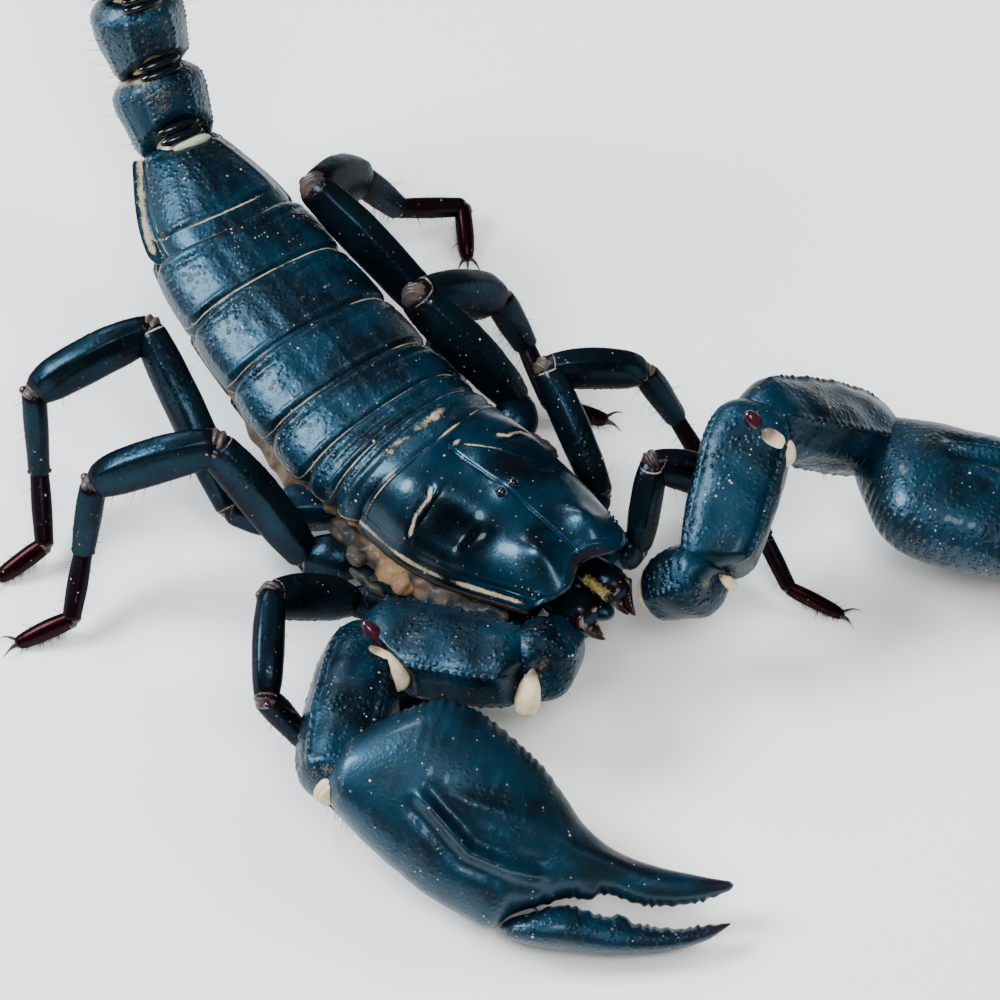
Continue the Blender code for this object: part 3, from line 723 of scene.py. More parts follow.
def buildTergite(number):
    bm = newPiece()
    index = number - 1
    last = number == 7
    length = (trunkAt(carapaceRear + number)[0] - trunkAt(carapaceRear + number - 1)[0]).length
    band = plateLook["lastBand"] if last else 0.0
    lineAt = plateLook["overlap"] + 0.32 + band
    corner = plateLook["corner"] + (0.5 if last else 0)

    def shape(along, angle):
        sign, share, under = aroundPlate(angle, plateLook["topShare"])
        size = abs(share)
        middle, flank = plateLook["middleSeams"], plateLook["sideSeams"]
        first, end = [middle[seam] + (flank[seam] - middle[seam]) * size ** 2 for seam in (index, index + 1)]
        whole = (end - first) * length + plateLook["overlap"]
        gone = (along - 0.10 * sin(2 * pi * along)) * whole  # mm from the plate's front edge
        where = first + gone / length
        centre, backward, width, rise, _ = trunkAt(min(where, 11))
        if where > 11:
            centre = centre + backward * (where - 11) * length
        side = sideways(backward)
        up = side.cross(backward)
        toRear = whole - gone
        out, down = skirts[sign]
        rounding = max(0.0, corner - gone)
        cut = corner - sqrt(max(0.0, corner ** 2 - rounding ** 2)) + 0.35 * ramp(1 - toRear / 0.9, 0, 1) ** 2
        belly = (0.35 if last else 0.22) * sin(pi * min(1.0, gone / whole))
        width += (out + belly - cut) * ramp(size, 0.5, 1.0)
        if under:
            inner = max(0.0, rise * backTop(share) * 0.85 - 0.5)
            # the hidden underside is painted near black as shade
            return centre + side * share * width * 0.97 + up * (inner - 0.1 - down * size), {"dark": 1.0}
        flange = plateLook["lastFlange"][sign] if last else 1.0
        arch = rise * backTop(min(1.0, size / flange))
        if last:  # a flat-topped cushion that falls to the tail
            arch = rise * 0.90 * max(0.0, 1 - min(1.0, size / flange) ** 3.4) ** 0.55
            arch *= 1 - 0.38 * ramp(2.2 - toRear, 0, 2.2)
            arch += 0.45 * ramp(size, flange - 0.03, flange) * (sign < 0)
        inward = plateLook["lastBorder"][sign] if last else 0
        margin = sqrt(arch ** 2 + ((1 - size) * width) ** 2)  # mm in from the side edge
        inset = insetFrom(gone - lineAt + 0.1, margin - inward, corner if share < 0.3 else 0.9)
        roundRear = max(0.0, 1 - toRear / 0.28)
        height = arch * (0.985 + 0.03 * gone / whole) - down * ramp(0.9 - arch, 0, 0.9)
        height -= 0.20 * (1 - ramp(inset, 0.10, 0.42))
        height -= 0.22 * (1 - sqrt(max(0.0, 1 - roundRear ** 2)))
        height += 0.10 * hump(inset, 0.62, 0.22) + 0.07 * hump(toRear, 0.50, 0.25)
        height -= 0.10 * hump(toRear, 1.05, 0.25) * ramp(size, 0.05, 0.3)
        x = share * width
        roll = noise.noise(Vector((x * 0.30, where * 1.8, number * 3)))
        fine = noise.noise(Vector((x * 1.3, where * 7, number * 3)))
        height += (0.10 * roll + 0.03 * fine) * ramp(inset, 0, 0.6)
        dent = exp(-((abs(x) - 0.38 * width) / 0.7) ** 2 - ((gone / whole - 0.45) * 2.2) ** 2)
        height -= 0.10 * dent - 0.05 * hump(x, 0, 0.4)
        if last:
            height += 0.55 * hump(size, 0, 0.62) * hump(gone / whole, 0.58, 0.30)
        edgeLine = plateLook["line"] * (1 + 2.0 * ramp(share, 0.78, 0.86) * last)
        strength = plateLook["lineStrength"][index]
        fade = plateLook["middleFade"][index] * (1 - ramp(size, 0.35, 0.62)) * ramp(gone, 1.2, 0.6)
        onLine = exp(-((inset - 0.04) / edgeLine) ** 2) * ramp(gone, lineAt - 0.35, lineAt - 0.15)
        dust = onLine * (strength * (1 - fade) + 0.5 * roll + 0.25 * fine)
        if last:
            strip = hump((1 - size) * width, 0.55, 0.34) if sign < 0 else 0
            seam = hump(gone, plateLook["overlap"] + 0.24, 0.10)
            dust = max(dust, (0.9 + 0.5 * fine) * strip * ramp(gone, 1.2, 2.2), 0.8 * seam)
        dust = max(dust, (0.62 + 0.5 * roll) * ramp(0.24 - margin, 0, 0.12))
        granular = ramp(gone / whole, 0.3, 0.9) * ramp(size, 0.45, 0.85)
        dust = max(dust, 0.42 * granular * (0.8 + 0.9 * fine), 0.35 * hump(toRear, 0.35, 0.2) * (0.5 + roll))
        if number == 1:
            patch = hump(gone, lineAt + 0.2, 0.34) * (1 - ramp(abs(share + 0.1), 0.3, 0.75))
            dust = max(dust, (0.55 + 0.4 * roll + 0.4 * fine) * patch)
        if number < 4:
            dust = max(dust, (0.26 + 0.3 * roll + 0.25 * fine) * hump(share, 0.40, 0.25))
        if number in (4, 5):
            streak = hump(gone / whole, 0.46, 0.03) * (1 - ramp(size, 0.5, 0.9))
            dust = max(dust, (0.36 + 0.4 * fine) * streak)
        grit = 0.12 + 0.55 * granular + (0.25 * last * ramp(gone / whole, 0.3, 1))
        return centre + side * x + up * (lip + height), {"dust": clamped(dust), "grit": grit}

    surface(bm, plateLook["rings"] + 14 * last, plateLook["sides"], shape)
    finishPiece(bm, f"backPlate{number}", "plate", (f"tergite_{number}",))


for plateNumber in range(1, 8):
    buildTergite(plateNumber)
print("back plates done")

# The underside: pleated side skin and belly plates, then leg bases and combs.
bellyLook = {
    "rings": 170, "sides": 120, "pleat": 0.16, "from": 1.2, "to": 10.96, "top": -0.12,
    "spread": {-1: -1.10, 1: 0.4},  # of the side skin beside the first plates, right and left
    "platesFrom": 6.15, "plateStep": 0.97, "plateLength": 1.01, "plateShare": 0.85, "plateTurn": 1.28,
}


def buildBelly():
    bm = newPiece()

    def shape(along, angle):
        where = bellyLook["from"] + (bellyLook["to"] - bellyLook["from"]) * along
        centre, side, up, width, _, depth = trunkFrame(where)
        taper = ramp(along, -0.02, 0.05) * (1 - ramp(along, 0.985, 1.01))
        front = 1 - ramp(where, 5.2, 6.8)  # narrower and flatter above the leg bases
        x, y = power(cos(angle), 0.75), sin(angle)
        top = bellyLook["top"]
        slim = 0.10 * front + 0.10 * ramp(where, 8.6, 9.6)
        bulge = 0.93 + 0.10 * min(1, max(0, -3 * y)) - slim
        height = top if y > -0.05 else top + (depth * (1 - 0.42 * front) + top) * power(y, 0.8)
        onSide = ramp(abs(x), 0.7, 0.95) * (1 - ramp(abs(y), 0.6, 0.9))
        ring = 0.5 + 0.5 * cos(2 * pi * (where - 0.45))
        crumple = noise.noise(centre * 0.9 + Vector((x * 2, 0, y * 4)))
        fine = noise.noise(centre * 2.6 + Vector((x * 3, 0, y * 9)))
        out = 1 + onSide * (0.030 * ring - 0.030 + bellyLook["pleat"] * (0.10 * crumple + 0.06 * fine))
        lower = ramp(abs(x), 0.72, 0.92) * ramp(where, 3.4, 4.1) * (1 - ramp(where, 6.0, 9.0))
        folds = 1 + 0.12 * cos(2 * pi * 2.0 * where + 1.5 * crumple)
        spread = bellyLook["spread"][-1 if x < 0 else 1] * lower * (1 - ramp(abs(y), 0.70, 0.98)) * folds
        height -= 0.85 * lower * (1 - ramp(-y, 0.6, 1.0))
        across = x * width * bulge * out * taper + spread
        point = centre + side * across + up * height * (0.2 + 0.8 * taper)
        dark = max(-fine * 1.6, ramp(where, 8.8, 9.8) * (0.75 + crumple))
        return point, {"dust": max(0.0, 0.15 + 0.8 * crumple), "dark": clamped(dark)}

    surface(bm, bellyLook["rings"], bellyLook["sides"], shape)
    finishPiece(bm, "sideSkin", "skin", ("belly",))

    for number in range(5):
        bm = newPiece()
        first = bellyLook["platesFrom"] + number * bellyLook["plateStep"]
        last = first + bellyLook["plateLength"]

        def plate(along, angle):
            where = min(first + (last - first) * along, 11)
            centre, side, up, width, _, depth = trunkFrame(where)
            turn, outside = angle / pi, bellyLook["plateShare"]
            outer = abs(turn) < outside
            share = turn / outside if outer else (1 if turn > 0 else -1) * (1 - abs(turn)) / (1 - outside)
            swing = share * bellyLook["plateTurn"]  # from one flank, under the belly, to the other
            size = 1.035 + 0.025 * along if outer else 0.96
            end = 1 - 0.05 * max(0.0, abs(along - 0.5) * 2 - 0.86) / 0.14
            x = power(sin(swing), 0.8) * width * size * end
            y = -power(max(cos(swing), 0.0), 0.7) * (depth - 0.1) * size * end - 0.35
            point = centre + side * x + up * y
            if number < 4:  # the book lungs' slits
                point = point + up * 0.25 * hump(abs(share), 0.55, 0.05) * hump(along, 0.55, 0.09)
            return point, {"dust": 0.6 * ramp(abs(share), 0.93, 0.99) + 0.35 * (1 - ramp(along, 0.0, 0.1)),
                           "red": 0.25}

        surface(bm, 34, 110, plate)
        finishPiece(bm, f"bellyPlate{number + 1}", "plate")


buildBelly()


def hipOf(side, pair):
    reach, along = hipReach[pair]
    axis = (Vector(trunkRows[carapaceRear][:3]) - Vector(trunkRows[0][:3])).normalized()
    hip = axis * along + sideways(axis) * reach * leftSign[side]
    hip.z = hipRise
    return hip


legBaseLook = {
    "station": {1: 1.3, 2: 2.2, 3: 3.2, 4: 4.3}, "height": {1: 1.5, 2: 1.8, 3: 2.0, 4: 2.0},
    "bankStations": (1.0, 2.0, 3.0, 4.0, 5.2), "bankReach": {-1: 0.40, 1: -1.1}, "bankHeight": -2.4,
    "lobe": ((0, 1.3, 0.9), (0.6, 1.2, 0.8), (1, 0.7, 0.6)),
    "roof": ((0, 3.6, 2.0), (0.3, 5.3, 2.3), (0.7, 5.9, 2.4), (1, 4.6, 1.8)),
    "comb": ((0, 1.0, 0.35), (0.5, 1.1, 0.35), (1, 0.6, 0.25)),
    "combTooth": ((0, 0.17, 0.16), (0.6, 0.2, 0.17), (1, 0.15, 0.14)), "combTeeth": 15,
    "edgeFrom": 0.55, "edgeTo": 4.05,  # stations of the head shield's turned-under edge
    "clods": (  # station, reach past the shield, height, half lengths, earth, darkness
        (3.25, 2.9, -2.0, (2.0, 0.45, 0.55), 0.1, 0.55), (2.35, 1.8, -2.4, (1.5, 0.42, 0.45), 0.1, 0.6),
        (3.75, 1.7, -2.2, (1.1, 0.7, 0.6), 0.15, 0.3), (2.85, 1.1, -1.8, (1.1, 0.95, 0.8), 0.75, 0.0),
        (1.7, 0.8, -2.4, (1.0, 0.7, 0.7), 0.2, 0.4), (4.5, 1.0, -2.7, (1.4, 0.55, 0.55), 0.2, 0.5),
    ),
    "leftClods": 1.3,  # how much less those on the left reach
}


def buildLegBases():
    # Each coxa is a tapered lobe from the midline to its leg; mud fills the joints above them.
    replaced = ("coxosternum",)
    for side, sign in leftSign.items():
        for pair in range(1, 5):
            bm = newPiece()
            hip = hipOf(side, pair)
            centre, backward, *_ = trunkAt(legBaseLook["station"][pair])
            inner = centre + sideways(backward) * sign * 0.9 + Vector((0, 0, -4.9 - centre.z))
            outer = Vector(legPoses[side, pair][0])
            end = hip.lerp(outer, 0.55) + Vector((0, 0, 0.5))
            height = legBaseLook["height"][pair]
            rows = ((0, 1.0, 1.3), (0.35, 1.5, 1.5), (0.75, 1.75, height), (1, 1.35, height * 0.85))
            way = (end - inner).normalized()
            Limb(inner, end, rows, sideways(way), caps=(1.5, 0.7), dust=0.40, dustEnds=0.6, power=0.85,
                 keels=((50, 0.2, 16, 1, 0.06), (130, 0.2, 16, 1, 0.06)), grit=0.3,
                 seed=pair + sign).build(bm, 46, 44)
            finishPiece(bm, f"coxa{side.title()}{pair}", "plate", replaced)
            replaced = ()
        bm = newPiece()  # maxillary lobe beside the mouth
        centre, backward, *_ = trunkAt(0.9)
        root = centre + sideways(backward) * sign * 1.3 + Vector((0, 0, -5.4))
        tip = root - backward * 4.2 + Vector((0, 0, -0.6))
        Limb(root, tip, legBaseLook["lobe"], sideways(backward), caps=(1.0, 1.0), dust=0.2).build(bm, 30, 32)
        finishPiece(bm, f"mouthLobe{side.title()}", "plate")

    bm = newPiece()  # sternum and the roof of the leg bases
    front, back = trunkAt(1.6)[0] + Vector((0, 0, -3.4)), trunkAt(5.9)[0] + Vector((0, 0, -3.3))
    Limb(front, back, legBaseLook["roof"], Vector((-1, 0, 0)), caps=(2.5, 2.5), dust=0.8, power=0.8,
         roll=0.2).build(bm, 60, 80)
    finishPiece(bm, "legBaseShield", "skin")

    for side, sign in leftSign.items():
        bm = newPiece()  # mud-filled joint skin along the shield's side
        points = []
        for where in legBaseLook["bankStations"]:
            centre, backward, width, *_ = trunkAt(where)
            reach = sideways(backward) * sign * (width + legBaseLook["bankReach"][sign])
            points.append(centre + reach + Vector((0, 0, legBaseLook["bankHeight"])))

        def bank(along, angle):
            place = along * 3.999
            low = int(place)
            centre = points[low].lerp(points[low + 1], place - low)
            way = (points[low + 1] - points[low]).normalized()
            out = sideways(way) * sign
            size = min(1.0, 6 * along, 6 * (1 - along)) ** 0.5
            point = centre + out * 1.15 * cos(angle) * size + Vector((0, 0, 1.0)) * sin(angle) * size
            lump = noise.noise(point * 0.45) * 0.8 + noise.noise(point * 1.4) * 0.25
            outward = out * cos(angle) + Vector((0, 0, 1)) * sin(angle)
            wet = noise.noise(point * 0.6 + Vector((9, 2, 5)))
            clod = hump(place, 2.1, 0.45)
            return point + outward * lump * size, {"dust": clamped(0.90 * clod + 0.4 * wet),
                                                   "dark": clamped(0.62 - 1.3 * clod - wet * 2.5)}

        surface(bm, 90, 40, bank)
        finishPiece(bm, f"muddyJointSkin{side.title()}", "mud")

        bm = newPiece()  # smooth straps and clods between the leg bases
        for where, reach, low, sizes, earth, dark in legBaseLook["clods"]:
            if sign > 0:
                reach -= legBaseLook["leftClods"]
            centre, backward, width, *_ = trunkAt(where)
            place = centre + sideways(backward) * sign * (width + reach) + Vector((0, 0, low - centre.z))
            blob(bm, place, backward, sideways(backward), sizes,
                 marks=lambda along, angle, earth=earth, dark=dark: {"dust": earth, "dark": dark},
                 lump=0.45)
        finishPiece(bm, f"legBaseStraps{side.title()}", "mud")

        bm = newPiece()  # the shield's turned-under edge
        reach, drop = skirts[sign]

        def band(along, angle):
            where = legBaseLook["edgeFrom"] + (legBaseLook["edgeTo"] - legBaseLook["edgeFrom"]) * along
            centre, backward, width, *_ = trunkAt(where)
            out = sideways(backward) * sign
            size = min(1.0, 12 * along, 12 * (1 - along)) ** 0.5
            middle = centre + out * (width * 0.965 + reach - 0.1) + Vector((0, 0, -0.45 - drop))
            x, y = cos(angle), sin(angle)
            point = middle + out * (0.30 * x + 0.20 * y) * size + Vector((0, 0, 0.55)) * y * size
            return point, {"dust": 0.4 * hump(y, -0.9, 0.25), "dark": 0.75, "red": 0.1}

        surface(bm, 90, 26, band)
        finishPiece(bm, f"turnedEdge{side.title()}", "skin")

        bm = newPiece()  # comb below the belly
        centre, backward, _, _, depth = trunkAt(carapaceRear + 1.8)
        out = sideways(backward) * sign
        root = centre + Vector((0, 0, -depth - 0.9)) + out * 1.1
        tip = root + out * 6.2 + backward * 3.4
        comb = Limb(root, tip, legBaseLook["comb"], backward, caps=(0.8, 0.8))
        comb.build(bm, 30, 24)
        for tooth in range(legBaseLook["combTeeth"]):
            share = 0.1 + 0.85 * tooth / (legBaseLook["combTeeth"] - 1)
            start = root.lerp(tip, share) + backward * 0.8
            end = start + backward * 1.3 + out * 0.25
            Limb(start, end, legBaseLook["combTooth"], comb.forward, caps=(0.2, 0.2)).build(bm, 8, 8)
        finishPiece(bm, f"comb{side.title()}", "skin", (f"pectine_{side}",))


buildLegBases()
print("underside done")


legKeels = ((62, 0.10, 10, 0.5, 0.05), (118, 0.10, 10, 0.5, 0.05), (-68, 0.12, 9, 0.42, 0.10),
            (-112, 0.12, 9, 0.42, 0.10))
legLook = {
    "rows": {
        "trochanter": ((0, 0.50, 0.55), (0.25, 0.62, 0.68), (0.62, 0.90, 0.98), (1, 0.62, 0.72)),
        "femur": ((0, 0.56, 0.68), (0.25, 0.68, 0.95), (0.7, 0.72, 1.05), (1, 0.62, 0.84)),
        "patella": ((0, 0.60, 0.82), (0.35, 0.70, 1.02), (0.8, 0.66, 0.94), (1, 0.52, 0.66)),
        "tibia": ((0, 0.47, 0.60), (0.35, 0.49, 0.63), (1, 0.42, 0.50)),
        "basitarsus": ((0, 0.37, 0.44), (0.5, 0.40, 0.47), (1, 0.36, 0.42)),
        "tarsus": ((0, 0.32, 0.38), (0.3, 0.36, 0.42), (0.75, 0.33, 0.36), (1, 0.24, 0.26)),
    },
    "surface": {
        "femur": {"caps": (0.9, 1.5), "extend": (0.45, 0.85), "keels": legKeels, "power": 0.86,
                  "grit": 0.25, "bow": (0, 0.25), "redEnds": 0.25, "dustEnds": 0.3, "ring": 0.7},
        "patella": {"caps": (1.4, 1.0), "extend": (0.95, 0.45), "keels": legKeels[:3], "power": 0.88,
                    "grit": 0.12, "bow": (0, 0.35), "redEnds": 0.45, "dustEnds": 0.2, "ring": 0.65},
        "tibia": {"caps": (0.9, 0.6), "extend": (0.5, 0.2), "keels": legKeels[:2], "redEnds": 0.7,
                  "dustEnds": 0.3},
        "basitarsus": {"caps": (0.6, 0.5), "extend": (0.35, 0.2), "red": 0.65, "redEnds": 0.5,
                       "dustEnds": 0.3},
        "tarsus": {"caps": (0.5, 0.5), "extend": (0.3, 0.15), "red": 0.95, "redEnds": 0.3, "dust": 0.2},
    },
    "hairs": {"femur": 10, "patella": 22, "tibia": 24, "basitarsus": 18, "tarsus": 46},
    "skins": (0.50, 0.66, 0.47, 0.38, 0.32),  # share of the girth, from the hip to the foot
    "knobs": {1: 0.66, 2: 0.5, 3: 0.4},  # share of the girth by joint
    "claws": ((0.55, 1.5, 0.55), (-0.55, 1.5, 0.55), (0, 0.7, 0.1)),  # spread, length, rise of each
    "clawSteps": 6,
}


def scaled(rows, size):
    return [(row[0], row[1] * size, row[2] * size) for row in rows]


def legJoints(side, pair):
    start, *turns, tarsusHeading = legPoses[side, pair]
    lengths = legLengths[pair]
    points, ways = chain(start, [(length, *turn) for length, turn in zip(lengths, turns)])
    fall = points[-1].z + bodyStart.z - footHeight
    ways.append(direction(tarsusHeading, -degrees(asin(fall / lengths[-1]))))
    points.append(points[-1] + ways[-1] * lengths[-1])
    return points, ways


def buildLeg(side, pair):
    name = f"leg{side.title()}{pair}"
    node = f"leg_{side}_{pair}"
    girth = legGirth[pair]
    points, ways = legJoints(side, pair)
    hip = hipOf(side, pair)
    hip += (points[0] - hip).normalized() * hipClearance
    rng = random.Random(f"{side}{pair}")
    seed = rng.uniform(0, 40)

    bm = newPiece()
    into = (points[0] - hip).normalized()
    Limb(hip - into * 0.6, points[0], scaled(legLook["rows"]["trochanter"], girth), sideways(ways[0]),
         caps=(0.8, 1.0), extend=(0, 0.7), dust=0.22, dustEnds=0.45, ring=0.6, grit=0.4, seed=seed,
         redEnds=0.2, keels=((70, 0.2, 18, 2.2, 0.12), (-60, 0.12, 14, 0.5, 0.1))).build(bm, 46, 40)
    finishPiece(bm, name + "Trochanter", "limb")

    replaced = {"femur": (f"{node}_femur",), "patella": (f"{node}_patella",), "tibia": (f"{node}_foot",)}
    made = {}
    for number, (part, settings) in enumerate(legLook["surface"].items()):
        bm = newPiece()
        rows = scaled(legLook["rows"][part], girth)
        made[part] = Limb(points[number], points[number + 1], rows, sideways(ways[number]), seed=seed,
                          **settings)
        made[part].build(bm, *((70, 44) if number < 2 else (44, 30)))
        finishPiece(bm, name + part.title(), "limb", replaced.get(part, ()))

    bm = newPiece()  # joint skins
    for place, before, after, size in zip(points, [into, *ways], ways, legLook["skins"]):
        way = (before + after).normalized()
        fold(bm, place, way, sideways(after), size * girth * 0.86, size * girth * 1.08, girth * 0.95)
    finishPiece(bm, name + "Skins", "cuff")

    bm = newPiece()  # red-purple knobs that the knees turn on
    for joint, size in legLook["knobs"].items():
        after = ways[joint]
        for turn in (1, -1):
            reach = sideways(after) * turn * size * girth * 0.72
            hinge = points[joint] + reach + Vector((0, 0, 0.12 * girth))
            blob(bm, hinge, after, sideways(after), (0.34 * girth * size, 0.20 * girth, 0.36 * girth * size))
    finishPiece(bm, name + "Knobs", "condyle")

    bm = newPiece()  # the two claws and the small middle one
    tip, way = points[5], ways[4]
    level = Vector((way.x, way.y, 0)).normalized()
    for spread, length, rise in legLook["claws"]:
        out = (level + sideways(level) * spread).normalized()
        root = tip + sideways(level) * spread * 0.5 + Vector((0, 0, 0.12 if spread else -0.1))
        last = root - out * 0.3
        for step in range(legLook["clawSteps"]):
            share = (step + 1) / legLook["clawSteps"]
            curl = rise * sin(pi * share * 0.8) - share * share * 0.75
            place = root + out * length * share + Vector((0, 0, curl * 0.6))
            radius = 0.17 * (1 - 0.85 * share)
            Limb(last, place, ((0, radius + 0.03, radius + 0.03), (1, radius, radius)), sideways(out),
                 caps=(radius, radius), extend=(radius * 0.6, radius * 0.6)).build(bm, 6, 8)
            last = place
    finishPiece(bm, name + "Claws", "claw")

    bm = newPiece()  # stiff hairs: sparse on the long segments, paired spines below the foot
    for part, count in legLook["hairs"].items():
        limb = made[part]
        for _ in range(count):
            along = rng.uniform(0.12, 0.96)
            under = part != "femur" or rng.random() < 0.6
            if under and rng.random() < 0.7:
                angle = rng.choice((-118, -90, -62)) + rng.uniform(-12, 12)
            else:
                angle = rng.uniform(-40, 220)
            root, outward, _ = limb.at(along, radians(angle))
            way = outward + limb.forward * rng.uniform(0.3, 0.9)
            bristle(bm, root - outward * 0.05, way, rng.uniform(0.5, 1.5) * (0.8 if part == "tarsus" else 1))
    for share in (0.35, 0.6, 0.85):
        for angle in (-60, -120):
            root, outward, _ = made["tarsus"].at(share, radians(angle))
            bristle(bm, root - outward * 0.08, outward + ways[4] * 0.5, 0.5, 0.06, 6)
    root, outward, _ = made["tibia"].at(0.97, radians(-90))
    bristle(bm, root - outward * 0.1, outward * 0.4 + ways[2], 0.9, 0.09, 8)
    finishPiece(bm, name + "Hairs", "bristle")


for legSide, legPair in legPoses:
    buildLeg(legSide, legPair)
print("legs done")


# The pincer arms.
palpLook = {
    "rows": {
        "trochanter": ((0, 2.3, 2.2), (0.45, 2.9, 2.9), (0.8, 3.1, 3.1), (1, 2.8, 2.9)),
        "femur": ((0, 2.5, 2.2), (0.15, 3.1, 2.5), (0.4, 3.5, 2.6), (0.8, 3.6, 2.6), (1, 3.0, 2.5)),
        "patella": ((0, 2.6, 2.5), (0.3, 3.5, 3.1), (0.75, 3.5, 3.15), (1, 2.9, 2.7)),
    },
    "surface": {
        "trochanter": {"caps": (1.2, 1.8), "extend": (0.4, 1.1), "grit": 1.1, "dust": 0.25, "roll": 0.22,
                       "keels": ((40, 0.15, 10, 0.7, 0.16), (140, 0.15, 10, 0.7, 0.16),
                                 (90, 0.08, 12, 0.8, 0.14))},
        "femur": {"caps": (1.4, 1.9), "extend": (0.3, 0.9), "power": 0.62, "grit": 0.40, "dust": 0.10,
                  "roll": 0.14, "keels": ((36, 0.12, 5, 0.62, 0.30), (144, 0.12, 5, 0.66, 0.34),
                                          (-40, 0.1, 6, 0.7, 0.15), (-140, 0.1, 6, 0.7, 0.15))},
        "patella": {"caps": (2.2, 1.5), "extend": (1.2, 0.6), "power": 0.80, "grit": 0.40, "dust": 0.10,
                    "roll": 0.20, "keels": ((48, 0.24, 6, 0.72, 0.20), (128, 0.20, 6, 0.75, 0.18),
                                            (2, 0.12, 8, 0.9, 0.14), (-50, 0.14, 8, 0.9, 0.14))},
    },
    "skins": {  # swollen skins: which joint, offset, long axis, half lengths (long, wide, thick)
        "right": ((1, (-1.15, -1.05, -0.75), (-0.45, -0.35, -0.85), (2.1, 0.80, 1.0)),
                  (2, (-1.08, -3.98, 1.52), (0.22, -0.62, -0.60), (2.3, 1.12, 1.20))),
        "left": ((1, (0.85, -0.85, -0.5), (0.5, -0.3, -0.8), (1.2, 0.35, 0.5)),
                 (2, (-0.95, -3.70, 0.15), (0.3, -0.35, -0.9), (2.2, 1.10, 1.2))),
    },
    "knobs": {  # the elbow's knob, in the same order
        "right": (2, (-0.3, -1.60, 2.0), (0.2, -0.6, -0.7), (2.0, 0.75, 0.8)),
        "left": (2, (-1.45, -1.7, 1.25), (0.3, -0.5, -0.8), (1.6, 0.75, 0.8)),
    },
    "cuts": {"right": 5.0, "left": 3.0},  # how far the arm's segments stop short inside the elbow
    "hairs": {"trochanter": 12, "femur": 24, "patella": 30},
    "seeds": {"right": 17.0, "left": 5.0},
}


def buildPalp(side):
    name, node = f"palp{side.title()}", f"pedipalp_{side}"
    start, *steps, roll = palpPoses[side]
    points, ways = chain(start, steps)
    seed = palpLook["seeds"][side]
    hip, elbow = ways[1] - ways[0], ways[2] - ways[1]  # toward the inside of the two bends
    cut = palpLook["cuts"][side]
    ends = (((0, hip), (1.2, -hip)), ((1.0, -hip), (cut, elbow)), ((cut, elbow), (0, elbow)))
    made = {}
    for number, (part, settings) in enumerate(palpLook["surface"].items()):
        bm = newPiece()
        rows = palpLook["rows"][part]
        made[part] = Limb(points[number], points[number + 1], rows, sideways(ways[number]), seed=seed,
                          open=ends[number], **settings)
        made[part].build(bm, 170 if number else 80, 170)
        finishPiece(bm, f"{name}{part.title()}", "palp", (f"{node}_{part}",))

    bm = newPiece()  # swollen pale skin on the inner side of the joints, and a collar at each end of the arm
    for joint, offset, long, sizes in palpLook["skins"][side]:
        blob(bm, points[joint] + Vector(offset), Vector(long), sideways(ways[joint]), sizes, 5, 0.02,
             lambda along, angle: {"dust": 0.7 * ramp(along, 0.45, 0.2) + 0.5 * ramp(along, 0.8, 1.0),
                                   "red": 0.8 * ramp(along, 0.32, 0.18)}, 0.38)
    fold(bm, points[0], ways[0], sideways(ways[0]), 1.6, 1.5, 1.7, 4, 0.03)
    fold(bm, points[3], (ways[2] + ways[3]).normalized(), sideways(ways[3]), 1.75, 1.6, 1.9, 4, 0.03)
    finishPiece(bm, name + "Skins", "cream")
    bm = newPiece()  # dark red knob that the elbow turns on, in a pale rim
    joint, offset, long, sizes = palpLook["knobs"][side]
    blob(bm, points[joint] + Vector(offset), Vector(long), sideways(ways[joint]), sizes)
    finishPiece(bm, name + "Knob", "condyle")

    buildHand(side, name, node, points[3], ways[3], roll, seed)

    bm = newPiece()
    rng = random.Random(side + "palp")
    for part, count in palpLook["hairs"].items():
        for _ in range(count):
            root, outward, _ = made[part].at(rng.uniform(0.1, 0.95), radians(rng.uniform(-180, 180)))
            way = outward + made[part].forward * 0.4
            bristle(bm, root - outward * 0.05, way, rng.uniform(0.4, 1.3), 0.022)
    finishPiece(bm, name + "Hairs", "bristle")


handLook = {
    "digitalKeel": ((5.5, 1.4), (7.5, 0.1), (11.2, -2.5), (14.6, -3.0), (18.1, -2.9)),
    "dorsalRidge": ((6.2, 1.5), (12.0, 1.1), (17.5, 0.5), (19.7, -0.4), (26.0, -1.2)),
    "grit": {"right": 0.22, "left": 1.8},
    "biting": 0.26,
    # Each piece's rows, mesh, rounding of its root, squareness, biting side and the big tooth's place.
    "hand": {"rows": palmRows, "mesh": (260, 230), "cap": 1.8, "corner": 0.95, "side": -1, "tooth": 21.3},
    "finger": {"rows": fingerRows, "mesh": (170, 110), "cap": 1.0, "corner": 0.9, "side": 1, "tooth": 24.2},
}


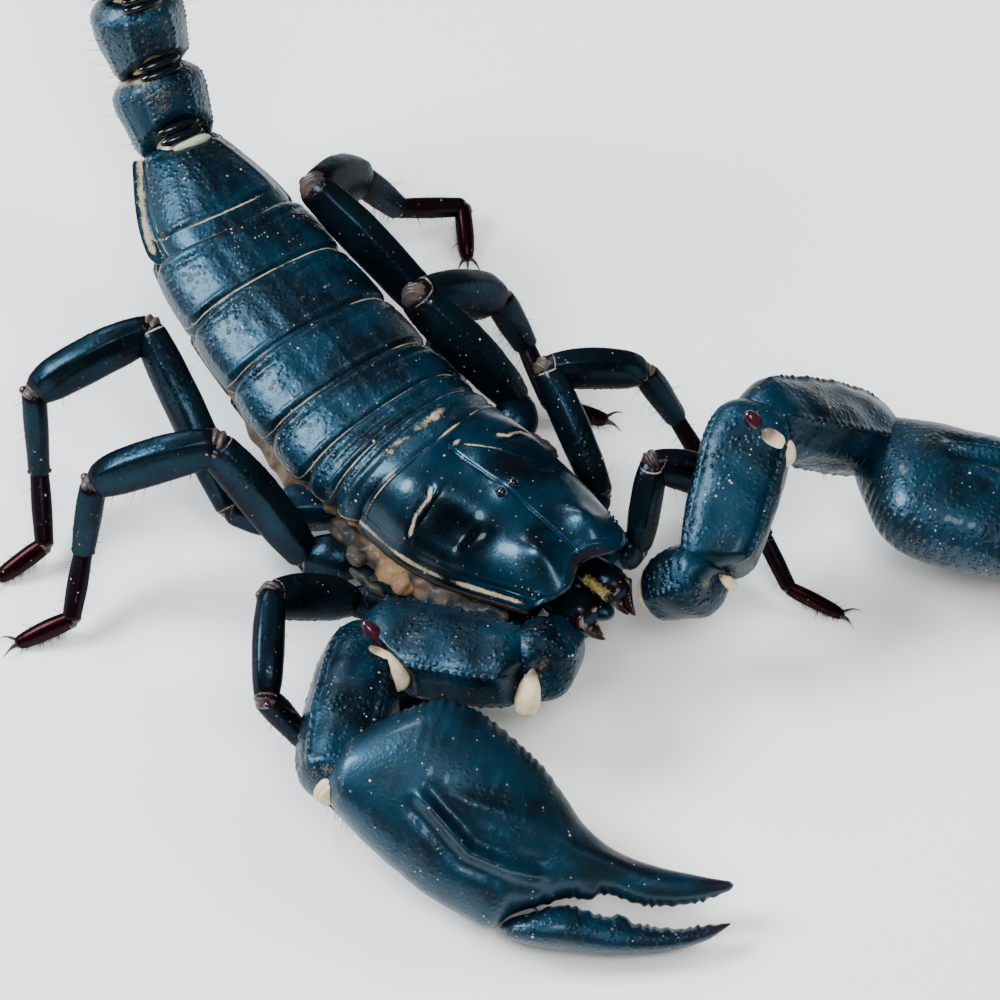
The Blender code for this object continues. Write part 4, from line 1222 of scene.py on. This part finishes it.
def buildHand(side, name, node, wrist, ahead, roll, seed):
    sign = leftSign[side]
    inner = Vector((-ahead.y, ahead.x, 0)).normalized() * -sign
    across = Matrix.Rotation(radians(roll) * -sign, 3, ahead) @ inner
    up = across.cross(ahead) * -sign
    if up.z < 0:
        up = -up

    def skin(look, isPalm):
        rows = look["rows"]
        first, last = rows[0][0], rows[-1][0]

        def shape(along, angle):
            place = first + (last - first) * (along - 0.06 * sin(2 * pi * along))
            innerEdge, outerEdge, half = smoothRow(rows, place)
            half, innerEdge = max(half, 0.05), max(innerEdge, outerEdge + 0.1)
            gone, left = place - first, last - place
            cap = 1.0
            for distance, length in ((gone, look["cap"]), (left, 0.6)):
                if distance < length:
                    cap *= sqrt(max(0.0, 1 - (1 - distance / length) ** 2))
            x, y = power(cos(angle), 0.9), power(sin(angle), look["corner"])
            width = (innerEdge - outerEdge) / 2
            over = (innerEdge + outerEdge) / 2 + x * width * cap
            point = wrist + ahead * place + across * over + up * y * half * cap
            out = (across * x / max(width, 0.3) + up * y / half).normalized()
            bump, dust, red, grit = 0.0, 0.0, 0.0, 0.0
            if isPalm:
                wet = noise.noise(point * 0.5)
                if y > 0:
                    near, share = awayFrom(handLook["digitalKeel"], place, over)
                    fade = ramp(share, 0.0, 0.2) * (1 - ramp(share, 0.88, 1.0)) * min(1, y * 2.5)
                    bump += 0.50 * exp(-(near / 0.40) ** 2) * fade
                    bump -= 0.30 * hump(near, 1.1, 0.6) * fade
                    near, share = awayFrom(handLook["dorsalRidge"], place, over)
                    fade = ramp(share, 0.0, 0.25) * (1 - ramp(share, 0.8, 1.0)) * min(1, y * 2.5)
                    bump += 0.34 * exp(-(near / 0.7) ** 2) * fade
                bead = (0.5 + 0.5 * cos(2 * pi * place / 0.75 + 1.5 * sin(place * 1.3))) ** 1.5
                bump += hump(x, 1, 0.07) * 0.16 * bead * ramp(place, 1, 4) * (1 - ramp(place, 15, 19))
                ripple = noise.noise(Vector((place * 1.6, over * 0.35, 3 + seed)))
                bump += 0.045 * ripple * ramp(place, 3, 6) * (1 - ramp(place, 14, 17))
                patch = 0.45 + 0.9 * noise.noise(point * 0.22 + Vector((seed, 0, 0)))
                if side == "right":
                    grit = max(0.2, patch)
                else:
                    grit = 0.9 * (0.15 + 0.85 * ramp(-y * 0.8 - x * sign * 0.2, -0.45, -0.1))
                grit *= handLook["grit"][side] * ramp(place, 0.5, 3) * (1 - ramp(place, 17, 22))
                dust = 0.75 * hump(place, 16.2, 1.2) * ramp(-over, 4.0, 6.4) * (0.5 + wet)
                dust = max(dust, 0.45 * hump(place, 0.4, 0.6))
            gap = hump(x, look["side"], 0.30)  # the biting edges carry teeth
            biting = gap * ramp(place, 16.5, 18) * (1 - ramp(place, 31, 32.5))
            tooth = (0.5 + 0.5 * cos(2 * pi * place / 0.8 + 1.4 * sin(place * 1.9))) ** 1.3
            uneven = 0.55 + 0.45 * sin(place * 2.3 + 1) * sin(place * 0.9)
            bigTooth = 0.5 * hump(place, look["tooth"], 0.7)
            bump += biting * (handLook["biting"] * tooth * uneven + bigTooth)
            if place > 17:
                bump += 0.14 * hump(y, 1, 0.25) * ramp(place, 17, 20) * ramp(left, 0, 4)
                red = 0.35 * ramp(place, 29, 32)
            if not isPalm:
                dust = 0.7 * (1 - ramp(place, 15.5, 18.0)) * (0.6 + noise.noise(point * 0.9))
                grit = 0.25
            swell = noise.noise(point * 0.3 + Vector((seed, 4, 0)))
            point = point + out * (bump + 0.10 * swell) * cap
            return point, {"dust": max(0.0, dust), "red": red, "grit": grit}

        return shape

    for part in ("hand", "finger"):
        bm = newPiece()
        surface(bm, *handLook[part]["mesh"], skin(handLook[part], part == "hand"))
        finishPiece(bm, f"{name}{part.title()}", "hand", (f"{node}_{part}",))


for palpSide in palpPoses:
    buildPalp(palpSide)
print("pedipalps done")


# The small jaws.
cheliceraLook = {
    "rows": ((0, 1.3, 1.3), (0.6, 1.55, 1.6), (1, 1.25, 1.35)), "brush": 120, "reach": 3.2,
    "keels": ((60, 0.10, 12, 0.8, 0.05), (110, 0.10, 12, 0.8, 0.05)),
    "fingers": ((-0.45, 1.5, 0.50), (0.60, 2.0, 0.58)),  # how far out, length, girth
}


def buildChelicerae():
    for side, sign in leftSign.items():
        centre, backward, *_ = trunkAt(0.6)
        out = sideways(backward) * sign
        start = centre + out * 1.85 + Vector((0, 0, -2.5))
        down = Vector((0, 0, -1))
        bm = newPiece()
        end = start - backward * cheliceraLook["reach"] + down * 0.2
        Limb(start + backward * 1.5, end, cheliceraLook["rows"], sideways(backward), caps=(1.0, 1.2),
             extend=(0, 0.5), red=0.12, redEnds=0.4, dustEnds=0.1, roll=0.08,
             keels=cheliceraLook["keels"]).build(bm, 60, 56)
        finishPiece(bm, f"chelicera{side.title()}", "limb", (f"chelicera_{side}",))
        bm = newPiece()
        root = start - backward * (cheliceraLook["reach"] - 0.1) + down * 0.5
        for shift, length, girth in cheliceraLook["fingers"]:
            tip = root - backward * length + out * (shift * 0.2 - 0.3) + down * 1.7
            rows = ((0, girth, girth), (0.5, girth * 0.75, girth * 0.85), (1, 0.12, 0.14))
            Limb(root + out * shift, tip, rows, sideways(backward), caps=(0.4, 0.3), extend=(0.7, 0),
                 bow=(0.0, 0.5), red=0.8, keels=((-90, 0.1, 18, 0.6, 0.2),)).build(bm, 40, 26)
        finishPiece(bm, f"cheliceraFingers{side.title()}", "claw")
        bm = newPiece()  # a fringe of golden bristles along the inner edge
        rng = random.Random(side + "brush")
        for number in range(cheliceraLook["brush"]):
            share = number / cheliceraLook["brush"]
            root = centre + out * 0.35 - backward * (0.6 + 2.5 * share) + down * (0.8 + 0.6 * share)
            way = -out * rng.uniform(-0.1, 0.9)
            way = way - backward * rng.uniform(0.2, 0.8) + down * rng.uniform(-0.4, 0.4)
            bristle(bm, root, way, rng.uniform(0.45, 1.0), 0.022)
        finishPiece(bm, f"cheliceraBrush{side.title()}", "brush")


buildChelicerae()
print("chelicerae done")

tailLook = {
    "ring": ((0, 0.72, 0.74), (0.18, 0.88, 0.88), (0.5, 1.0, 0.98), (0.8, 1.05, 1.03), (1, 0.96, 0.96)),
    "bulb": ((0, 0.55, 0.55), (0.3, 0.95, 0.95), (0.6, 0.98, 1.0), (0.85, 0.7, 0.75), (1, 0.42, 0.46)),
    "keels": ((62, 0.07, 4, 0.55, 0.20), (118, 0.07, 4, 0.55, 0.20), (22, 0.05, 4, 0.50, 0.16),
              (158, 0.05, 4, 0.50, 0.16), (-22, 0.04, 4, 0.5, 0.12), (-158, 0.04, 4, 0.5, 0.12),
              (-62, 0.06, 4, 0.5, 0.12), (-118, 0.06, 4, 0.5, 0.12)),
    "bulbKeels": ((-90, 0.1, 12, 0.8, 0.1), (-60, 0.1, 9, 0.8, 0.08), (-120, 0.1, 9, 0.8, 0.08)),
    "open": 3.1,  # how far each ring stops short on top of its base
    "ridges": ((0.55, 0.02), (1.45, 0.05)),  # the two polished ridges across a joint: how far along, lift
    "ringHairs": 34, "bulbHairs": 60,
    "hairAngles": (20, 160, -22, -158, -60, -120),
    "sting": ((0, 1.0), (1, 0.72), (2, 0.42), (3, 0.06)),  # radius by step
}


def buildTail():
    steps = [(row[0], row[3], row[4]) for row in (*tailRows, vesicleRow)]
    points, ways = chain(Vector(trunkRows[-1][:3]), steps)
    trunkWay = trunkAt(11)[1]
    before = [trunkWay, *ways]
    across = sideways(trunkWay)
    skins = newPiece()
    condyles = newPiece()
    crescents = newPiece()
    hairs = newPiece()
    rng = random.Random("tail")
    for number, (_, halfWidth, halfHeight, *_) in enumerate(tailRows):
        rows = [(row[0], row[1] * halfWidth, row[2] * halfHeight) for row in tailLook["ring"]]
        bm = newPiece()
        ring = Limb(points[number], points[number + 1], rows, across, caps=(1.4, 2.2), extend=(0.7, 1.0),
                    open=((tailLook["open"], across.cross(ways[number])), (0, across)),
                    keels=tailLook["keels"], grit=0.7, roll=0.12, dust=0.58, dustEnds=0.62,
                    seed=number * 3.0)
        ring.build(bm, 150, 170)
        finishPiece(bm, f"tailRing{number + 1}", "tail", (f"tail_{number + 1}",))
        way = (before[number] + ways[number]).normalized()
        fold(skins, points[number] + ways[number] * 0.1, way, across, halfWidth * 0.62, halfHeight * 0.66,
             3.4, 4, 0.03)
        top = across.cross(way)
        for back, lift in tailLook["ridges"]:
            place = points[number] + top * halfHeight * (0.76 + lift) + way * back
            blob(condyles, place, across, way, (halfWidth * 0.50, 0.52, 0.60))
        edge = points[number] + top * halfHeight * 0.74 - way * 0.20 + across * halfWidth * 0.16
        blob(crescents, edge, across, way, (halfWidth * 0.44, 0.55, 0.50))
        for _ in range(tailLook["ringHairs"]):
            along = rng.uniform(0.1, 0.95)
            angle = rng.choice(tailLook["hairAngles"]) + rng.uniform(-10, 10)
            root, outward, _ = ring.at(along, radians(angle))
            way = outward + ring.forward * rng.uniform(-0.1, 0.5)
            bristle(hairs, root - outward * 0.05, way, rng.uniform(0.8, 2.2))
    way = (ways[-2] + ways[-1]).normalized()
    fold(skins, points[-2] + ways[-1] * 0.1, way, across, 1.7, 1.6, 3.0, 4, 0.03)
    finishPiece(skins, "tailSkins", "cream")
    finishPiece(condyles, "tailCondyles", "polished")
    finishPiece(crescents, "tailCrescents", "crescent")

    bm = newPiece()
    rows = [(row[0], row[1] * vesicleRow[1], row[2] * vesicleRow[2]) for row in tailLook["bulb"]]
    bulb = Limb(points[-2], points[-1], rows, across, caps=(1.0, 0.6), extend=(0.2, 0.5), grit=0.5,
                dust=0.3, redEnds=0.3, keels=tailLook["bulbKeels"])
    bulb.build(bm, 90, 90)
    finishPiece(bm, "venomBulb", "limb", ("vesicle",))
    for _ in range(tailLook["bulbHairs"]):
        root, outward, _ = bulb.at(rng.uniform(0.15, 0.95), radians(rng.uniform(-180, 180)))
        bristle(hairs, root - outward * 0.05, outward + bulb.forward * 0.3, rng.uniform(0.6, 1.6))
    finishPiece(hairs, "tailHairs", "bristle")

    stingPoints, _ = chain(points[-1], stingTurns)
    bm = newPiece()
    table = [(number, *point) for number, point in enumerate(stingPoints)]

    def sting(along, angle):
        place = 3 * along
        centre = Vector(smoothRow(table, place))
        behind, ahead = smoothRow(table, max(place - 0.1, 0)), smoothRow(table, min(place + 0.1, 3))
        way = (Vector(ahead) - Vector(behind)).normalized()
        radius = smoothRow(tailLook["sting"], place)[0] * (0 if along in (0, 1) else 1)
        up = across.cross(way)
        return centre + (across * cos(angle) + up * sin(angle)) * radius, {"dust": 0.0}

    surface(bm, 60, 32, sting)
    finishPiece(bm, "stingPoint", "claw", ("sting",))


buildTail()
print("tail done")

# Floor, lights and camera.
floorFinish = Finish("paleFloor", 0.6)
floorTone = floorFinish.noise(0.02, 2)
floorFinish.set(Base_Color=floorFinish.mix(floorTone, (0.70, 0.69, 0.67), (0.73, 0.72, 0.70)))
bm = bmesh.new()
bmesh.ops.create_grid(bm, x_segments=2, y_segments=2, size=2)
floorMesh = bpy.data.meshes.new("floor")
bm.to_mesh(floorMesh)
bm.free()
floorMesh.materials.append(floorFinish.material)
floor = newObject("floor", floorMesh)

lights = {
    # name: (heading from the model, rise, distance m, size m, watts, colour, seen in the gloss)
    "key": (137, 47, 0.60, 0.26, 9.0, (0.80, 0.92, 1.0), True),
    "back": (80, 42, 0.60, 0.12, 1.0, (0.78, 0.90, 1.0), True),
    "front": (-113, 59, 0.60, 0.14, 1.5, (0.80, 0.92, 1.0), True),
    "fillRight": (-127, 60, 0.70, 0.50, 5.0, (1.0, 0.97, 0.93), False),
    "fillLeft": (-20, 55, 0.70, 0.40, 4.0, (1.0, 0.98, 0.95), False),
}
middle = Vector([(low + high) / 2 for low, high in zip(*solidBox)])
middle.z = 0.008
for name, (heading, rise, distance, size, watts, colour, gloss) in lights.items():
    lamp = bpy.data.lights.new(name, "AREA")
    lamp.shape, lamp.size, lamp.energy, lamp.color = "DISK", size, watts, colour
    holder = newObject(name, lamp)
    holder.visible_glossy = gloss
    holder.location = middle + direction(heading, rise) * distance
    holder.rotation_euler = direction(heading, rise).to_track_quat("Z", "Y").to_euler()

roomLook = {"Color": (0.82, 0.88, 0.94, 1), "Strength": 0.09}
world = bpy.data.worlds.new("softRoom")
bpy.context.scene.world = world
world.use_nodes = True
for key, value in roomLook.items():
    world.node_tree.nodes["Background"].inputs[key].default_value = value

cameraLook = {"target": Vector((7.72, 0.55, -11.15)), "heading": Vector((0.6088, 0.7934, 0)), "down": 53,
              "distance": 440, "lens": 188.93}
lensView = bpy.data.cameras.new("camera")
lensView.sensor_width, lensView.lens, lensView.clip_start = 36, cameraLook["lens"], 0.01
camera = newObject("camera", lensView)
down = radians(cameraLook["down"])
view = (cameraLook["heading"] * cos(down) - Vector((0, 0, sin(down)))).normalized()
camera.location = (bodyStart + cameraLook["target"] - view * cameraLook["distance"]) * mm
camera.rotation_euler = view.to_track_quat("-Z", "Y").to_euler()
bpy.context.scene.camera = camera
print("stage done")
